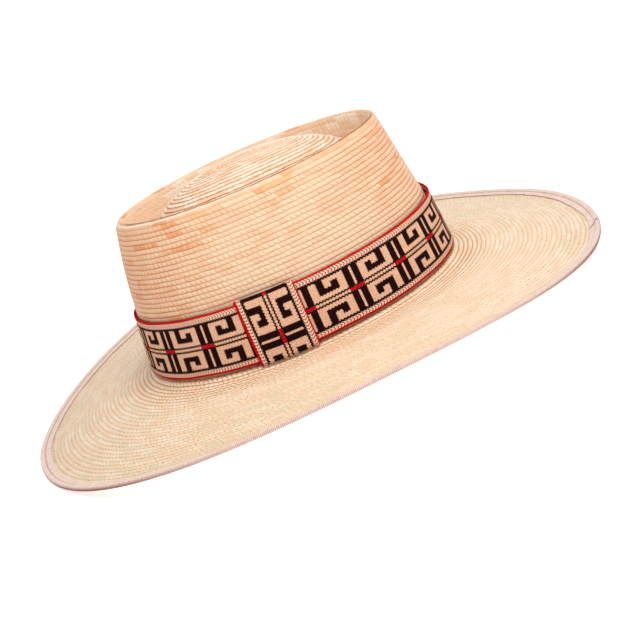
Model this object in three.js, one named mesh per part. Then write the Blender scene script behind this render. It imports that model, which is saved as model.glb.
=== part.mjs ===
// Gambler hat: a low telescope crown and a wide brim of sewn palm braid, a woven band with its
// keeper, and a cloth binding round the edge of the brim.
//
// Millimetres, +Z up. The hat stands on the front and back tips of its brim, so z = 0 is the
// surface that it rests on. The front of the hat points along -Y and the wearer's left side, which
// carries the keeper, along +X. The origin is the middle of the footprint.

import * as THREE from 'three';

// Driving dimensions of the brim. Its underside rises by sideRise from the tips to the sides, and
// tipLand is the share of the half width that stays level at each tip. A higher riseFront or
// riseBack keeps more of the edge low, and a higher brimCurve lets the brim fall later on its way
// from the crown to its edge.
const strawThickness = 2.0;
const brimThickness = 1.5;
const brimLength = 391;
const brimWidth = 350.4;
const sideRise = 19.0;
const tipLand = 0.17;
const riseFront = 1.8;
const riseBack = 3.0;
const brimCurve = 1.25;

// The crown stands on a plane this high at the middle, which falls by leanBack for each millimetre
// towards the back.
const crownBaseHeight = 18.6;
const leanBack = 0.0215;

// Driving dimensions of the trimmings. seat is the gap that every piece keeps from its neighbour.
const seat = 0.3;
const tapeThickness = 0.6;
const tapeWidth = 6.5;
const tapeBend = 0.9;
const tapeLand = 2.0;
const bandWidth = 36.5;
const bandThickness = 1.5;
const bandBottom = 3.6;

// keeperPlace is how far the middle of the keeper lies behind the middle of the hat, and the band
// bulges by keeperBulge there, fading out over bulgeReach.
const keeperWidth = 36.5;
const keeperThickness = 1.2;
const keeperOverhang = 2.0;
const keeperFold = 0.5;
const keeperPlace = -25.5;
const keeperBulge = 1.0;
const bulgeReach = 28;

// How finely the skins are cut: straight facets once round the hat, the same for every piece so
// that their faces run level with each other, stations along the keeper, and the rings of the brim
// as shares of the way from the crown to its edge.
const facetsRound = 72;
const keeperStations = 7;
const brimShares = [0, 0.04, 0.15, 0.32, 0.5, 0.68, 0.85, 1];

// Outer skin of the crown's walls, from the brim up over the crest to the seam just inside it.
// front, back and side are the half sizes of the oval, and wall says how thick the straw is there;
// at the crest it is folded solid.
const crownRings = [
  { front: 104.2, back: 104.8, side: 84.8, height: 0, wall: strawThickness },
  { front: 101.8, back: 102.0, side: 80.2, height: 20, wall: strawThickness },
  { front: 99.3, back: 99.0, side: 75.8, height: 40, wall: strawThickness },
  { front: 96.4, back: 95.2, side: 71.0, height: 60, wall: strawThickness },
  { front: 92.2, back: 91.5, side: 66.1, height: 80, wall: strawThickness },
  { front: 89.6, back: 89.6, side: 63.6, height: 90, wall: strawThickness },
  { front: 88.0, back: 88.3, side: 62.1, height: 95.5, wall: 0 },
  { front: 86.0, back: 87.2, side: 61.0, height: 97.8, wall: 0 },
  { front: 84.2, back: 85.8, side: 59.6, height: 98.0, wall: 0 },
  { front: 82.8, back: 84.6, side: 58.4, height: 96.9, wall: 0 },
];

// Outer skin of the crown's top, from the seam down into the groove and up to the foot of the dome,
// in the same columns. Its rim is thinned to tuck in under the crest.
const topRings = [
  { front: 82.4, back: 84.2, side: 58.0, height: 96.6, wall: 0.4 },
  { front: 78.4, back: 80.4, side: 55.2, height: 86.0, wall: strawThickness },
  { front: 74.6, back: 76.8, side: 52.6, height: 77.5, wall: strawThickness },
  { front: 70.6, back: 72.6, side: 50.4, height: 75.0, wall: strawThickness },
  { front: 67.0, back: 69.0, side: 48.4, height: 77.5, wall: strawThickness },
];

// The dome inside the groove is a cap of an ellipsoid. Its middle lies domePlace behind the middle
// of the hat, and its rings are shares of its half sizes, from the foot to the top.
const domeHalfLength = 67;
const domeHalfWidth = 48.4;
const domePlace = 1;
const domeTop = 105.5;
const domeRadius = 28;
const domeShares = [0.93, 0.82, 0.66, 0.46, 0.24, 0];

// How square the ovals are: 2 is an ellipse, and more fills the corners out. The crown's front
// grows more pointed from the base to the crest.
const crownSquareness = { front: 2.1, back: 2.05 };
const crestSquareness = { front: 1.9, back: 2.05 };
const brimSquareness = { front: 2.0, back: 2.08 };

// Outer faces of the band at its lower and upper edge; the crown tapers away inside the upper one.
const bandEdges = {
  lower: { front: 106.2, back: 106.5, side: 87.2 },
  upper: { front: 101.6, back: 102.8, side: 80.4 },
};

// Colours of the materials.
const crownStraw = 0xf3d9b4;
const brimStraw = 0xf5ddbd;
const edgeTape = 0xe3c8b8;
const wovenBand = 0x8a5a48;

// Points nearer each other than this are one point.
const samePoint = 1e-6;

const { lerp } = THREE.MathUtils;

function angleOf(facet) {
  return (facet / facetsRound) * 2 * Math.PI;
}

// One oval ring of points, numbered from the wearer's left side towards the back.
function ovalRing({ front, back, side, height }, squareness = crownSquareness) {
  const ring = [];
  for (let i = 0; i < facetsRound; i += 1) {
    const across = Math.cos(angleOf(i));
    const along = Math.sin(angleOf(i));
    const power = lerp(squareness.front, squareness.back, (1 + along) / 2);
    const sum = Math.abs(across) ** power + Math.abs(along) ** power;
    const reach = sum ** (-1 / power);
    const halfLength = along > 0 ? back : front;
    ring.push(new THREE.Vector3(side * across * reach, halfLength * along * reach, height));
  }
  return ring;
}

// Closed body whose skin runs through the rings in order and from the last back to the first. A
// ring shrunk to a point closes the skin there, and faces of no area are left out.
function loftedBody(rings) {
  const positions = rings.flat().flatMap((point) => [point.x, point.y, point.z]);
  const index = [];
  const count = rings[0].length;
  const isPoint = rings.map((ring) => ring.every((p) => p.distanceTo(ring[0]) < samePoint));
  for (let r = 0; r < rings.length; r += 1) {
    const next = (r + 1) % rings.length;
    for (let i = 0; i < count; i += 1) {
      const j = (i + 1) % count;
      const low = isPoint[r] ? [r * count, r * count] : [r * count + i, r * count + j];
      const high = isPoint[next]
        ? [next * count, next * count]
        : [next * count + i, next * count + j];
      if (!isPoint[r]) index.push(low[0], low[1], high[1]);
      if (!isPoint[next]) index.push(low[0], high[1], high[0]);
    }
  }
  const geometry = new THREE.BufferGeometry();
  geometry.setAttribute('position', new THREE.Float32BufferAttribute(positions, 3));
  geometry.setIndex(index);
  return geometry;
}

// Ring moved inwards along the skin's normal, worked out from the rings below and above it.
function innerRing(rings, place, thickness) {
  const ring = rings[place];
  const below = rings[Math.max(place - 1, 0)];
  const above = rings[Math.min(place + 1, rings.length - 1)];
  return ring.map((point, i) => {
    const before = ring[(i + facetsRound - 1) % facetsRound];
    const after = ring[(i + 1) % facetsRound];
    const round = new THREE.Vector3().subVectors(after, before);
    const up = new THREE.Vector3().subVectors(above[i], below[i]);
    const inward = new THREE.Vector3().crossVectors(up, round).normalize();
    const moved = point.clone().addScaledVector(inward, thickness);
    moved.z = Math.max(moved.z, 0);
    return moved;
  });
}

function domeRing(share) {
  const fall = domeRadius * (1 - Math.sqrt(1 - share * share));
  const ring = ovalRing({
    front: domeHalfLength * share,
    back: domeHalfLength * share,
    side: domeHalfWidth * share,
    height: domeTop - fall,
  });
  ring.forEach((point) => {
    point.y += domePlace;
  });
  return ring;
}

function crownRing(row) {
  const share = row.height / domeTop;
  return ovalRing(row, {
    front: lerp(crownSquareness.front, crestSquareness.front, share),
    back: lerp(crownSquareness.back, crestSquareness.back, share),
  });
}

// Inner skin of straw under the outer rings, left out where the straw is folded solid.
function innerSkin(outer, wall) {
  return outer
    .map((ring, place) => (wall[place] > 0 ? innerRing(outer, place, wall[place]) : null))
    .filter((ring) => ring !== null);
}

// Crown: the tapered walls and the folded crest, open at the top and bottom.
function crownWalls() {
  const outer = crownRings.map(crownRing);
  const inner = innerSkin(outer, crownRings.map((row) => row.wall));
  return loftedBody(outer.concat(inner.reverse()));
}

// Crown top: the groove inside the crest and the dome. Its inner skin closes in one point under the
// top of the dome.
function crownTop() {
  const outer = topRings.map(crownRing).concat(domeShares.map(domeRing));
  const wall = topRings.map((row) => row.wall).concat(domeShares.map(() => strawThickness));
  const inner = innerSkin(outer, wall);
  const innerTop = new THREE.Vector3(0, domePlace, domeTop - strawThickness);
  inner[inner.length - 1] = inner[0].map(() => innerTop.clone());
  return loftedBody(outer.concat(inner.reverse()));
}

// Height of the underside of the brim's edge above the surface: the tips touch it along a short
// level stretch, and the sides stand highest, with a quicker fall towards the back.
function edgeRise(angle) {
  const sideways = Math.max(0, (Math.abs(Math.cos(angle)) - tipLand) / (1 - tipLand));
  const power = lerp(riseFront, riseBack, (1 + Math.sin(angle)) / 2);
  return sideRise * sideways ** power;
}

function crownPlane(y) {
  return crownBaseHeight - leanBack * y;
}

// The brim's straw runs from just inside the crown's wall to just inside the binding.
const tapeOut = tapeThickness + seat;
const strawEdge = {
  front: brimLength / 2 - tapeOut,
  back: brimLength / 2 - tapeOut,
  side: brimWidth / 2 - tapeOut,
  height: 0,
};
const headRing = {
  front: crownRings[0].front - strawThickness,
  back: crownRings[0].back - strawThickness,
  side: crownRings[0].side - strawThickness,
  height: 0,
};

// Ring of the brim's top or underside. share runs from 0 at the head opening to 1 at the edge, and
// lift raises the ring above the underside.
function brimRing(share, lift) {
  const start = ovalRing(headRing);
  const end = ovalRing(strawEdge, brimSquareness);
  return start.map((point, i) => {
    const plan = point.clone().lerp(end[i], share);
    const from = crownPlane(point.y) - brimThickness - seat;
    const to = edgeRise(angleOf(i)) + tapeOut;
    plan.z = lerp(from, to, share ** brimCurve) + lift;
    return plan;
  });
}

// Brim: one flat ring of straw that falls away to the tips and stays high at the sides.
function brimPlate() {
  const under = brimShares.map((share) => brimRing(share, 0));
  const top = brimShares.map((share) => brimRing(share, brimThickness));
  return loftedBody(top.reverse().concat(under));
}

// Binding: a tape folded over the edge of the brim, with a level land along its lowest line. Each
// row of the section is a place outwards from the straw's edge and a lift above its underside.
function edgeBinding() {
  const brimReach = brimLength / 2 - headRing.front - tapeOut;
  const strawTop = brimThickness + seat;
  const tapeTop = strawTop + tapeThickness;
  const section = [
    { out: tapeOut - tapeWidth, lift: strawTop },
    { out: tapeOut - tapeWidth, lift: tapeTop },
    { out: 0, lift: tapeTop },
    { out: tapeOut, lift: tapeTop - tapeBend },
    { out: tapeOut, lift: tapeBend - tapeOut },
    { out: tapeOut - tapeBend / 2, lift: -tapeOut, level: true },
    { out: tapeOut - tapeBend / 2 - tapeLand, lift: -tapeOut, level: true },
    { out: tapeOut - tapeWidth, lift: -tapeOut },
    { out: tapeOut - tapeWidth, lift: -seat },
    { out: seat, lift: -seat },
    { out: seat, lift: strawTop },
  ];
  const rings = section.map(({ out, lift, level }) => {
    const ring = brimRing(1 + out / brimReach, lift);
    if (level) {
      ring.forEach((point, i) => {
        point.z = edgeRise(angleOf(i));
      });
    }
    return ring;
  });
  return loftedBody(rings.reverse());
}

// Half sizes of the band's outer face, or of a face that much further out, at a height above the
// band's lower edge.
function bandOval(height, out) {
  const { lower, upper } = bandEdges;
  const share = height / bandWidth;
  return {
    front: lerp(lower.front, upper.front, share) + out,
    back: lerp(lower.back, upper.back, share) + out,
    side: lerp(lower.side, upper.side, share) + out,
    height: bandBottom + height,
  };
}

// How far the band is pushed out by the layer of the keeper that passes behind it.
function bulge(y) {
  return keeperBulge * Math.exp(-(((y - keeperPlace) / bulgeReach) ** 2));
}

function bandRing(height, out) {
  const ring = ovalRing(bandOval(height, out));
  ring.forEach((point) => {
    if (point.x > 0) point.x += bulge(point.y);
  });
  return ring;
}

// Band: a flat woven strip once round the crown.
function hatBand() {
  const heights = [0, bandWidth / 2, bandWidth];
  const outer = heights.map((height) => bandRing(height, 0));
  const inner = heights.map((height) => bandRing(height, -bandThickness));
  return loftedBody(outer.concat(inner.reverse()));
}

// Point on the wearer's left face of the band at a place along the hat, a height above the band's
// lower edge and a distance outwards from the outer face.
function bandPoint(y, height, out) {
  const oval = bandOval(THREE.MathUtils.clamp(height, 0, bandWidth), out);
  const halfLength = y > 0 ? oval.back : oval.front;
  const power = (crownSquareness.front + crownSquareness.back) / 2;
  const reach = (1 - Math.abs(y / halfLength) ** power) ** (1 / power);
  return new THREE.Vector3(oval.side * reach + bulge(y), y, bandBottom + height);
}

// Section of the keeper at one station: a loop round the band with cut-off corners, clear of its
// faces by one distance and past its edges by another.
function keeperLoop(y, clear, past) {
  const middle = bandWidth / 2;
  const low = -past;
  const high = bandWidth + past;
  const back = -bandThickness - clear;
  return [
    bandPoint(y, low + keeperFold, clear),
    bandPoint(y, middle, clear),
    bandPoint(y, high - keeperFold, clear),
    bandPoint(y, high, clear - keeperFold),
    bandPoint(y, high, back + keeperFold),
    bandPoint(y, high - keeperFold, back),
    bandPoint(y, middle, back),
    bandPoint(y, low + keeperFold, back),
    bandPoint(y, low, back + keeperFold),
    bandPoint(y, low, clear - keeperFold),
  ];
}

// Keeper: a flat sleeve of the same strip turned upright, round the band, its ends folded under and
// over the band's edges.
function bandKeeper() {
  const inner = [];
  const outer = [];
  for (let i = 0; i < keeperStations; i += 1) {
    const y = keeperPlace + keeperWidth * (i / (keeperStations - 1) - 0.5);
    inner.push(keeperLoop(y, seat, keeperOverhang - keeperThickness));
    outer.push(keeperLoop(y, seat + keeperThickness, keeperOverhang));
  }
  return loftedBody(inner.concat(outer.reverse()));
}

function addPiece(parent, name, geometry, colour, roughness) {
  const material = new THREE.MeshStandardMaterial({ color: colour, roughness, metalness: 0 });
  const mesh = new THREE.Mesh(geometry, material);
  mesh.name = name;
  parent.add(mesh);
}

const group = new THREE.Group();
addPiece(group, 'brim', brimPlate(), brimStraw, 0.7);
addPiece(group, 'brim_binding', edgeBinding(), edgeTape, 0.9);

const crownGroup = new THREE.Group();
crownGroup.position.z = crownBaseHeight;
crownGroup.rotation.x = -Math.atan(leanBack);
group.add(crownGroup);
addPiece(crownGroup, 'crown', crownWalls(), crownStraw, 0.7);
addPiece(crownGroup, 'crown_top', crownTop(), crownStraw, 0.7);
addPiece(crownGroup, 'hat_band', hatBand(), wovenBand, 0.9);
addPiece(crownGroup, 'band_keeper', bandKeeper(), wovenBand, 0.9);

export default group;
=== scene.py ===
"""Gambler hat of sewn palm braid, with a woven fret band, its keeper and a taped edge.

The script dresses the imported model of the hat. Every surface is worked out with numpy in
millimetres, from the same few sizes that shape the solids, and is put into metres as it enters
a mesh. The front of the hat points along -Y and the wearer's left side along +X.
"""

import math
from functools import partial

import bpy
import numpy as np
from mathutils import Matrix


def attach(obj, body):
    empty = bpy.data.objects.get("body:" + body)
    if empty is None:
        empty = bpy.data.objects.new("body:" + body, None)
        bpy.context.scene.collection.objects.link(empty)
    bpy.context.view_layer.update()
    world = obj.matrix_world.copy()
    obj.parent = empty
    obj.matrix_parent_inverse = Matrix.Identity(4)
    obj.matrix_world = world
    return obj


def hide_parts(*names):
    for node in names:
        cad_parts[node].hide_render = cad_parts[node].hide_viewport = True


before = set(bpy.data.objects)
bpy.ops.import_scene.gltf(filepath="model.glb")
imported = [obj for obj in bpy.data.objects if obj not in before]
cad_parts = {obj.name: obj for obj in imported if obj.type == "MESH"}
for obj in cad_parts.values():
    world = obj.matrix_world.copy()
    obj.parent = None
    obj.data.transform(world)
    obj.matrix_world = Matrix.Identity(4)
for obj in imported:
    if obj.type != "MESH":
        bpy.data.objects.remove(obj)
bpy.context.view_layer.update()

bl_info = {
    "name": "Gambler hat of sewn palm braid",
    "version": (1, 0, 0),
    "blender": (4, 5, 0),
    "location": "View3D > Sidebar > Hat",
    "description": "Dresses the packed model of a gambler hat in sewn braid, woven band and tape",
    "category": "Object",
}

BODY = "root"
MM = 0.001

# Columns of the tables of ovals below: half sizes towards the front, the back and each side, and
# the height above the plane that the crown stands on, in mm.
FRONT, BACK, SIDE, HEIGHT = range(4)

# Outer skin of the crown's walls, from the brim up over the crest to the seam just inside it.
WALL_RINGS = np.array([
    (104.2, 104.8, 84.8, 0.0),
    (101.8, 102.0, 80.2, 20.0),
    (99.3, 99.0, 75.8, 40.0),
    (96.4, 95.2, 71.0, 60.0),
    (92.2, 91.5, 66.1, 80.0),
    (89.6, 89.6, 63.6, 90.0),
    (88.0, 88.3, 62.1, 95.5),
    (86.0, 87.2, 61.0, 97.8),
    (84.2, 85.8, 59.6, 98.0),
    (82.8, 84.6, 58.4, 96.9),
])

# Outer skin of the crown's top outside the dome, from the foot of the dome through the groove and
# up to the seam under the crest.
GROOVE_RINGS = np.array([
    (67.0, 69.0, 48.4, 77.5),
    (70.6, 72.6, 50.4, 75.0),
    (74.6, 76.8, 52.6, 77.5),
    (78.4, 80.4, 55.2, 86.0),
    (82.4, 84.2, 58.0, 96.6),
])

DOME_TOP = 105.5
DOME_RISE = 28.0

# How square the ovals are: 2 is an ellipse. Each pair is for the front and for the back.
CROWN_SQUARENESS = (2.1, 2.05)
CREST_SQUARENESS = (1.9, 2.05)
BRIM_SQUARENESS = (2.0, 2.08)

# The crown's plane is this high at the middle and falls by LEAN for each mm towards the back.
CROWN_BASE = 18.6
LEAN = 0.0215

# The brim's underside rises by SIDE_RISE from the tips to the sides. TIP_LAND is the share of the
# half width that stays level at each tip, and RISE is the curve of the rise, front and back.
SIDE_RISE = 19.0
TIP_LAND = 0.17
RISE = (1.8, 3.0)
BRIM_CURVE = 1.25
BRIM_THICKNESS = 1.5

# The brim turns up a little at its edge. With t the distance in from the edge, it lies
# EDGE_TURN t exp(-t / EDGE_TURN_REACH) lower than the plain curve.
EDGE_TURN = 0.5
EDGE_TURN_REACH = 12.0

# Gap that a piece keeps from what it sits on, the straw's thickness on the crown, the brim's edge,
# its inner edge, which is the inside of the crown's wall, and the way between them at the sides.
SEAT = 0.3
WALL = 2.0
BRIM_EDGE = np.array([(194.6, 194.6, 174.3, 0.0)])
HEAD_RING = WALL_RINGS[:1] - (WALL, WALL, WALL, 0.0)
BRIM_REACH = BRIM_EDGE[0, SIDE] - HEAD_RING[0, SIDE]

# Outer faces of the band at its lower and upper edge, its size and where it sits, then the same of
# its keeper, how round the keeper's loop is, and how far and how wide it pushes the band out.
BAND_RINGS = np.array([
    (106.2, 106.5, 87.2, 0.0),
    (101.6, 102.8, 80.4, 36.5),
])
BAND_WIDTH = 36.5
BAND_THICKNESS = 1.5
BAND_BOTTOM = 3.6
KEEPER_WIDTH = 36.5
KEEPER_THICKNESS = 1.2
KEEPER_OVERHANG = 2.0
KEEPER_PLACE = -25.5
SLEEVE_ROUND = 0.95
KEEPER_BULGE = 1.0
BULGE_REACH = 28.0

# The tape of the binding: its width on each side of the brim, its thickness and how far it stands
# out from the straw's edge. On top the woven tape reaches further in than its solid and is thinner,
# but it is folded off its middle, so that it is narrower there on the wearer's left. That starts
# where the cosine of the angle round the hat is NARROW_START and grows to TAPE_TOP_NARROW over
# NARROW_GROWTH more. UNDER_THIN is the share of its depth that the underside loses at the sides.
TAPE_WIDTH = 6.5
TAPE_TOP_WIDTH = 8.4
TAPE_TOP_NARROW = 2.2
TAPE_THICKNESS = 0.6
TAPE_TOP_THICKNESS = 0.35
TAPE_OUT = TAPE_THICKNESS + SEAT
NARROW_START = 0.1
NARROW_GROWTH = 0.35
UNDER_THIN = 0.5

# The tape's section: the fold's depth as a share of half its height and the number of its points,
# and how far from the fold and from the cut edges the flat parts end.
FOLD_DEPTH = 0.55
FOLD_POINTS = 9
FLAT_FROM_FOLD = 0.3
FLAT_FROM_EDGE = 0.8

# The tape's cut end, which lies over its start at the back: angles in degrees of its point on the
# inner side, of the notch near the fold and of the fold, their shares of the way to the fold, and
# how far its layer can be followed. The layer is cut at END_STATIONS, its lens has END_POINTS points
# and stands up by END_LIFT times END_RAISE at the cut, one millimetre on and at its end. From the
# # share END_TURN on it turns to stand outwards, and up to END_DARK it takes the painted shade of the
# # tape's underside, as a dark line at the cut.
END_ANGLES = (66.5, 71.0, 68.5)
END_PLACES = (0.0, 0.72, 1.0)
END_LENGTH = 30.0
END_STATIONS = (0.0, 0.4, 0.8, 1.2, 3.0, 6.0, 10.0, 15.0, 22.0, END_LENGTH)
END_POINTS = 32
END_LIFT = 0.42
END_RAISE = (0.8, 1.0, -0.4)
END_TURN = 0.8
END_DARK = 1.0

# Where the surface of each row of braid lies, from its inner to its outer edge: place across the
# row and height as shares of the row's width and of its relief. The outer edge lies on top of the
# next row, as shingles do. ROW_MIDDLE is the station nearest to the row's middle.
ROW_PLACE = np.array([0.0, 0.16, 0.52, 0.84, 0.965])
ROW_LIFT = np.array([0.0, 0.45, 0.78, 1.0, 0.72])
ROW_MIDDLE = 2

# The crown's rows are numbered on from the dome's middle, so the walls start at this row, and the
# first CREST_ROWS of them lie over the crest.
WALL_FIRST_ROW = 40
CREST_ROWS = 2

# Shares of the full relief that the rows take on each part of the hat.
CREST_RELIEF = 0.4
WALL_RELIEF = 0.66
DOME_RELIEF = 1.25
BRIM_RELIEF = 0.55
GROOVE_RELIEF = 0.2

# The top's rim is this thick where it tucks in under the crest, RIM_TAPER is where the straw starts
# and ends to thicken from there, and RIM_CLOSE is how far the rim is drawn out and up so that it
# meets the crest's first row.
TOP_RIM = 0.5
RIM_TAPER = (0.0, 8.0)
RIM_CLOSE = (0.4, 0.4, 0.4, 0.4)

# How far the low lines of the brim's braid lie under the brim's plain top, and how high and how far
# out its first rows climb up the foot of the crown's wall.
BRIM_SINK = 0.3
FOOT_RISE = 3.3
FOOT_REACH = 7.5

# Seeded waves round the hat: whole numbers of turns, and a size. For the rows' edges and their
# relief the size is a share of the row's width and of the relief, and each part of the crown and
# the brim has its seed. For the band's edges, the tape's top and its inner edge it is in mm, and
# the seed comes last. The stitches have a seed too.
ROW_WANDER = ((5, 9, 14, 23, 37, 51), 0.035)
ROW_SWELL = ((17, 31, 44, 67), 0.16)
WALL_SEED, TOP_SEED, BRIM_SEED = 11, 23, 37
BAND_WAVES = ((3, 5, 8, 13, 21), 0.096, 41)
TAPE_PUCKER = ((31, 57, 83, 131, 190), 0.09, 53)
TAPE_WANDER = ((7, 19, 41, 77), 0.14, 59)
STITCH_SEED = 61

# How finely the surfaces are cut once round the hat, how many columns make one rib of the tape, and
# how finely the dome, the groove, the strip's face, its round edges, the flat backs of band and
# keeper and the sides of the keeper's loops are cut.
CROWN_COLUMNS = 360
BRIM_COLUMNS = 440
BAND_COLUMNS = 720
TAPE_COLUMNS = 3420
RIB_COLUMNS = 3
DOME_SAMPLES = 160
GROOVE_SAMPLES = 80
FACE_SAMPLES = 61
TURN_SAMPLES = 7
BAND_BACK_SAMPLES = 8
KEEPER_BACK_SAMPLES = 16
SLEEVE_SAMPLES = 31

# Fret pattern of the band, in mm: the distance between two separators, the half width of their
# cream middle and of the whole separator, and the middles and half sizes of the three bars of the
# black hook in a cell, across the cell and up from the centre strip. Then where the fret, the black
# line, the cream stripe and the red edge start, out from the centre line, the middle and the half
# width of the black zigzag, the half width of the red centre, and the pitch of picks and warps.
PERIOD = 33.1
SEPARATOR_CREAM = 0.85
SEPARATOR_HALF = 5.05
CELL = PERIOD - 2 * SEPARATOR_HALF
HOOK_BARS = (
    (7.15, 2.15, 8.5, 5.5),
    (11.55, 6.55, 4.375, 1.375),
    (16.05, 2.05, 5.75, 2.75),
)
FRET_START = 1.6
LINE_START = 12.8
STRIPE_START = 14.35
EDGE_START = 17.05
ZIGZAG = 1.3
ZIGZAG_HALF = 0.42
CENTRE_HALF = 0.95
PICK = 1.05
WARP = 0.55

# Ridges and grooves of the woven strip: height, distance from the centre line and reach, in mm.
STRIP_RIDGES = ((0.10, 1.2, 0.5), (-0.12, EDGE_START, 0.35), (0.22, 17.3, 0.6))

# The black yarns spread over the cream ones by this much, and the band has slipped up under its
# lower red yarns by this much, so that more of them shows below than above.
SPREAD = 0.2
EDGE_SHIFT = 0.35

# Middles of the separators along the band's mid-line, in mm from the wearer's left towards the
# back. The pattern is stretched a little between them, as it is on the hidden side.
BAND_LENGTH = 597.13
BAND_JOINT = -25.7
SEPARATORS = {0: -6.25, 1: 26.9, 2: 60.0, 3: 92.1, 15: -131.0, 16: -101.2, 17: -70.9}

# The keeper's pattern: height of its first separator over the band's lower edge, the distance
# between two separators there, and the length of strip in the sleeve.
KEEPER_FIRST = 41.6
KEEPER_PERIOD = 30.4

# The binding's cut width, the height of its ribs, and where its stitches run: places outwards from
# the straw's edge, how far they sink into the tape on the wearer's left, and how many points their
# line is worked out from. Each stitch starts within STITCH_JITTER of its even place and takes
# STITCH_SHARE of its step. STITCH_RINGS has, for each ring of a stitch, its place along it, its
# height over the tape and its half width, and the thread is flattened to STITCH_FLAT of that.
TAPE_FLAT = 16.0
RIB_RELIEF = 0.18
STITCH_OUT = -2.7
STITCH_SINK = 0.8
STITCH_SAMPLES = 4000
STITCH_JITTER = 0.06
STITCH_SHARE = 0.68
STITCH_RINGS = np.array([
    (0.0, -0.12, 0.08),
    (0.25, 0.1, 0.18),
    (0.75, 0.1, 0.18),
    (1.0, -0.12, 0.08),
])
STITCH_FLAT = 0.8
TUBE_SIDES = 6

# The floor is a shallow dish, level out to FLOOR_LEVEL and then rising to FLOOR_RIM at FLOOR_REACH,
# in metres, with a faint glow of its own, as on a white light table. The key light is a soft box:
# its place and size in metres and its power in watts. The pale surroundings are darker at the front
# than at the back of the hat.
FLOOR_LEVEL = 2.0
FLOOR_REACH = 8.0
FLOOR_RIM = 2.2
FLOOR_RINGS = 40
FLOOR_COLUMNS = 96
FLOOR_GLOW = 0.69
WORLD_FRONT = 0.14
WORLD_BACK = 0.38
KEY_PLACE = (0.38, 0.17, 1.25)
KEY_SIZE = 0.9
KEY_POWER = 17.7

# Place of the camera, worked out from the hat's outline in the photo: it looks at AIM, in mm, from
# this far, and FOCAL is for a sensor 36 mm wide.
AIM = (0.0, 5.738, 3.072)
CAMERA_DISTANCE = 804.12
FOCAL = 68.98


def linear(code):
    """sRGB hex value to linear red, green and blue, by the sRGB curve."""
    parts = [int(code[i:i + 2], 16) / 255 for i in (0, 2, 4)]
    return tuple(p / 12.92 if p <= 0.04045 else ((p + 0.055) / 1.055) ** 2.4 for p in parts)


def colour_property(name, description, code):
    return bpy.props.FloatVectorProperty(
        name=name, description=description, subtype="COLOR", size=3, min=0.0, max=1.0,
        default=linear(code),
    )


def length_property(name, description, millimetres):
    return bpy.props.FloatProperty(
        name=name, description=description, unit="LENGTH", precision=5, min=0.0,
        default=millimetres * MM,
    )


class HatStraw(bpy.types.PropertyGroup):
    """Sizes and colours of the sewn palm braid."""

    crown_row: length_property("Crown row", "Width of one row of braid on the crown", 3.02)
    dome_row: length_property("Dome row", "Width of one row of braid on the crown's top", 3.4)
    brim_row: length_property("Brim row", "Width of one row of braid on the brim", 2.9)
    relief: length_property("Relief", "How far each row's outer edge stands over the next", 0.45)
    strand: length_property("Strand", "Length of one strand's crossing in the braid", 3.4)
    cream: colour_property("Cream", "Palest straw", "EACAA8")
    pink: colour_property("Pink", "Pinkish straw", "E9C5A3")
    peach: colour_property("Peach", "Warm straw", "E8BE9A")
    orange: colour_property("Orange", "Deeper straw", "E9B384")
    ochre: colour_property("Ochre", "Rare dark straw", "E3A574")
    grey: colour_property("Grey", "Rare greenish straw", "E3D2B3")
    ridge: colour_property("Ridge", "Pale straw of the dome and the crest", "EEDCC4")
    brim_cream: colour_property("Brim cream", "Palest straw of the brim", "EFDAC0")
    brim_warm: colour_property("Brim warm", "Warmer straw of the brim", "ECD1B2")
    # The row lines are painted shadow under each row's overlapping edge; these colours are what it
    # leaves of the straw.
    crown_line: colour_property("Crown line", "What the crown's row lines leave of the straw", "EAB670")
    brim_line: colour_property("Brim line", "What the brim's row lines leave of the straw", "EAC8A6")
    dash: colour_property("Dash", "Shadow between two strands of the braid", "C9A88A")
    # The fold's dark line is painted shadow of the crease at the crest.
    fold: colour_property("Fold", "Dark line where the braid is folded at the crest", "9A5B34")
    stitch: colour_property("Stitch", "Thread that sews the rows", "9C6440")


class HatTrim(bpy.types.PropertyGroup):
    """Sizes and colours of the band, the keeper and the binding."""

    stitch_step: length_property("Stitch step", "Length of one stitch and its gap", 2.6)
    tape: colour_property("Tape", "Ribbed tape of the binding", "EBD6C9")
    # tape_shade is painted shade in the valleys between the ribs.
    tape_shade: colour_property("Tape shade", "Valleys between the ribs of the tape", "B8958A")
    # tape_dark is the dark along the cut edge and the painted shade below the fold.
    tape_dark: colour_property("Tape dark", "Cut edge and underside of the tape", "6E3326")
    thread: colour_property("Thread", "Stitches of the binding", "B27A5A")
    woven_cream: colour_property("Woven cream", "Cream yarn of the band", "E4B596")
    woven_black: colour_property("Woven black", "Black yarn of the band", "180606")
    woven_red: colour_property("Woven red", "Red yarn of the band", "C60C16")


class HatStage(bpy.types.PropertyGroup):
    """Camera, light and floor."""

    azimuth: bpy.props.FloatProperty(
        name="Azimuth", description="Turn of the camera round the hat", subtype="ANGLE",
        default=math.radians(85.071),
    )
    elevation: bpy.props.FloatProperty(
        name="Elevation", description="Height angle of the camera over the floor", subtype="ANGLE",
        default=math.radians(19.12),
    )
    roll: bpy.props.FloatProperty(
        name="Roll", description="Turn of the camera about its own axis", subtype="ANGLE",
        default=math.radians(24.396),
    )
    floor: colour_property("Floor", "Plain pale floor", "F7F5F3")


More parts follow.
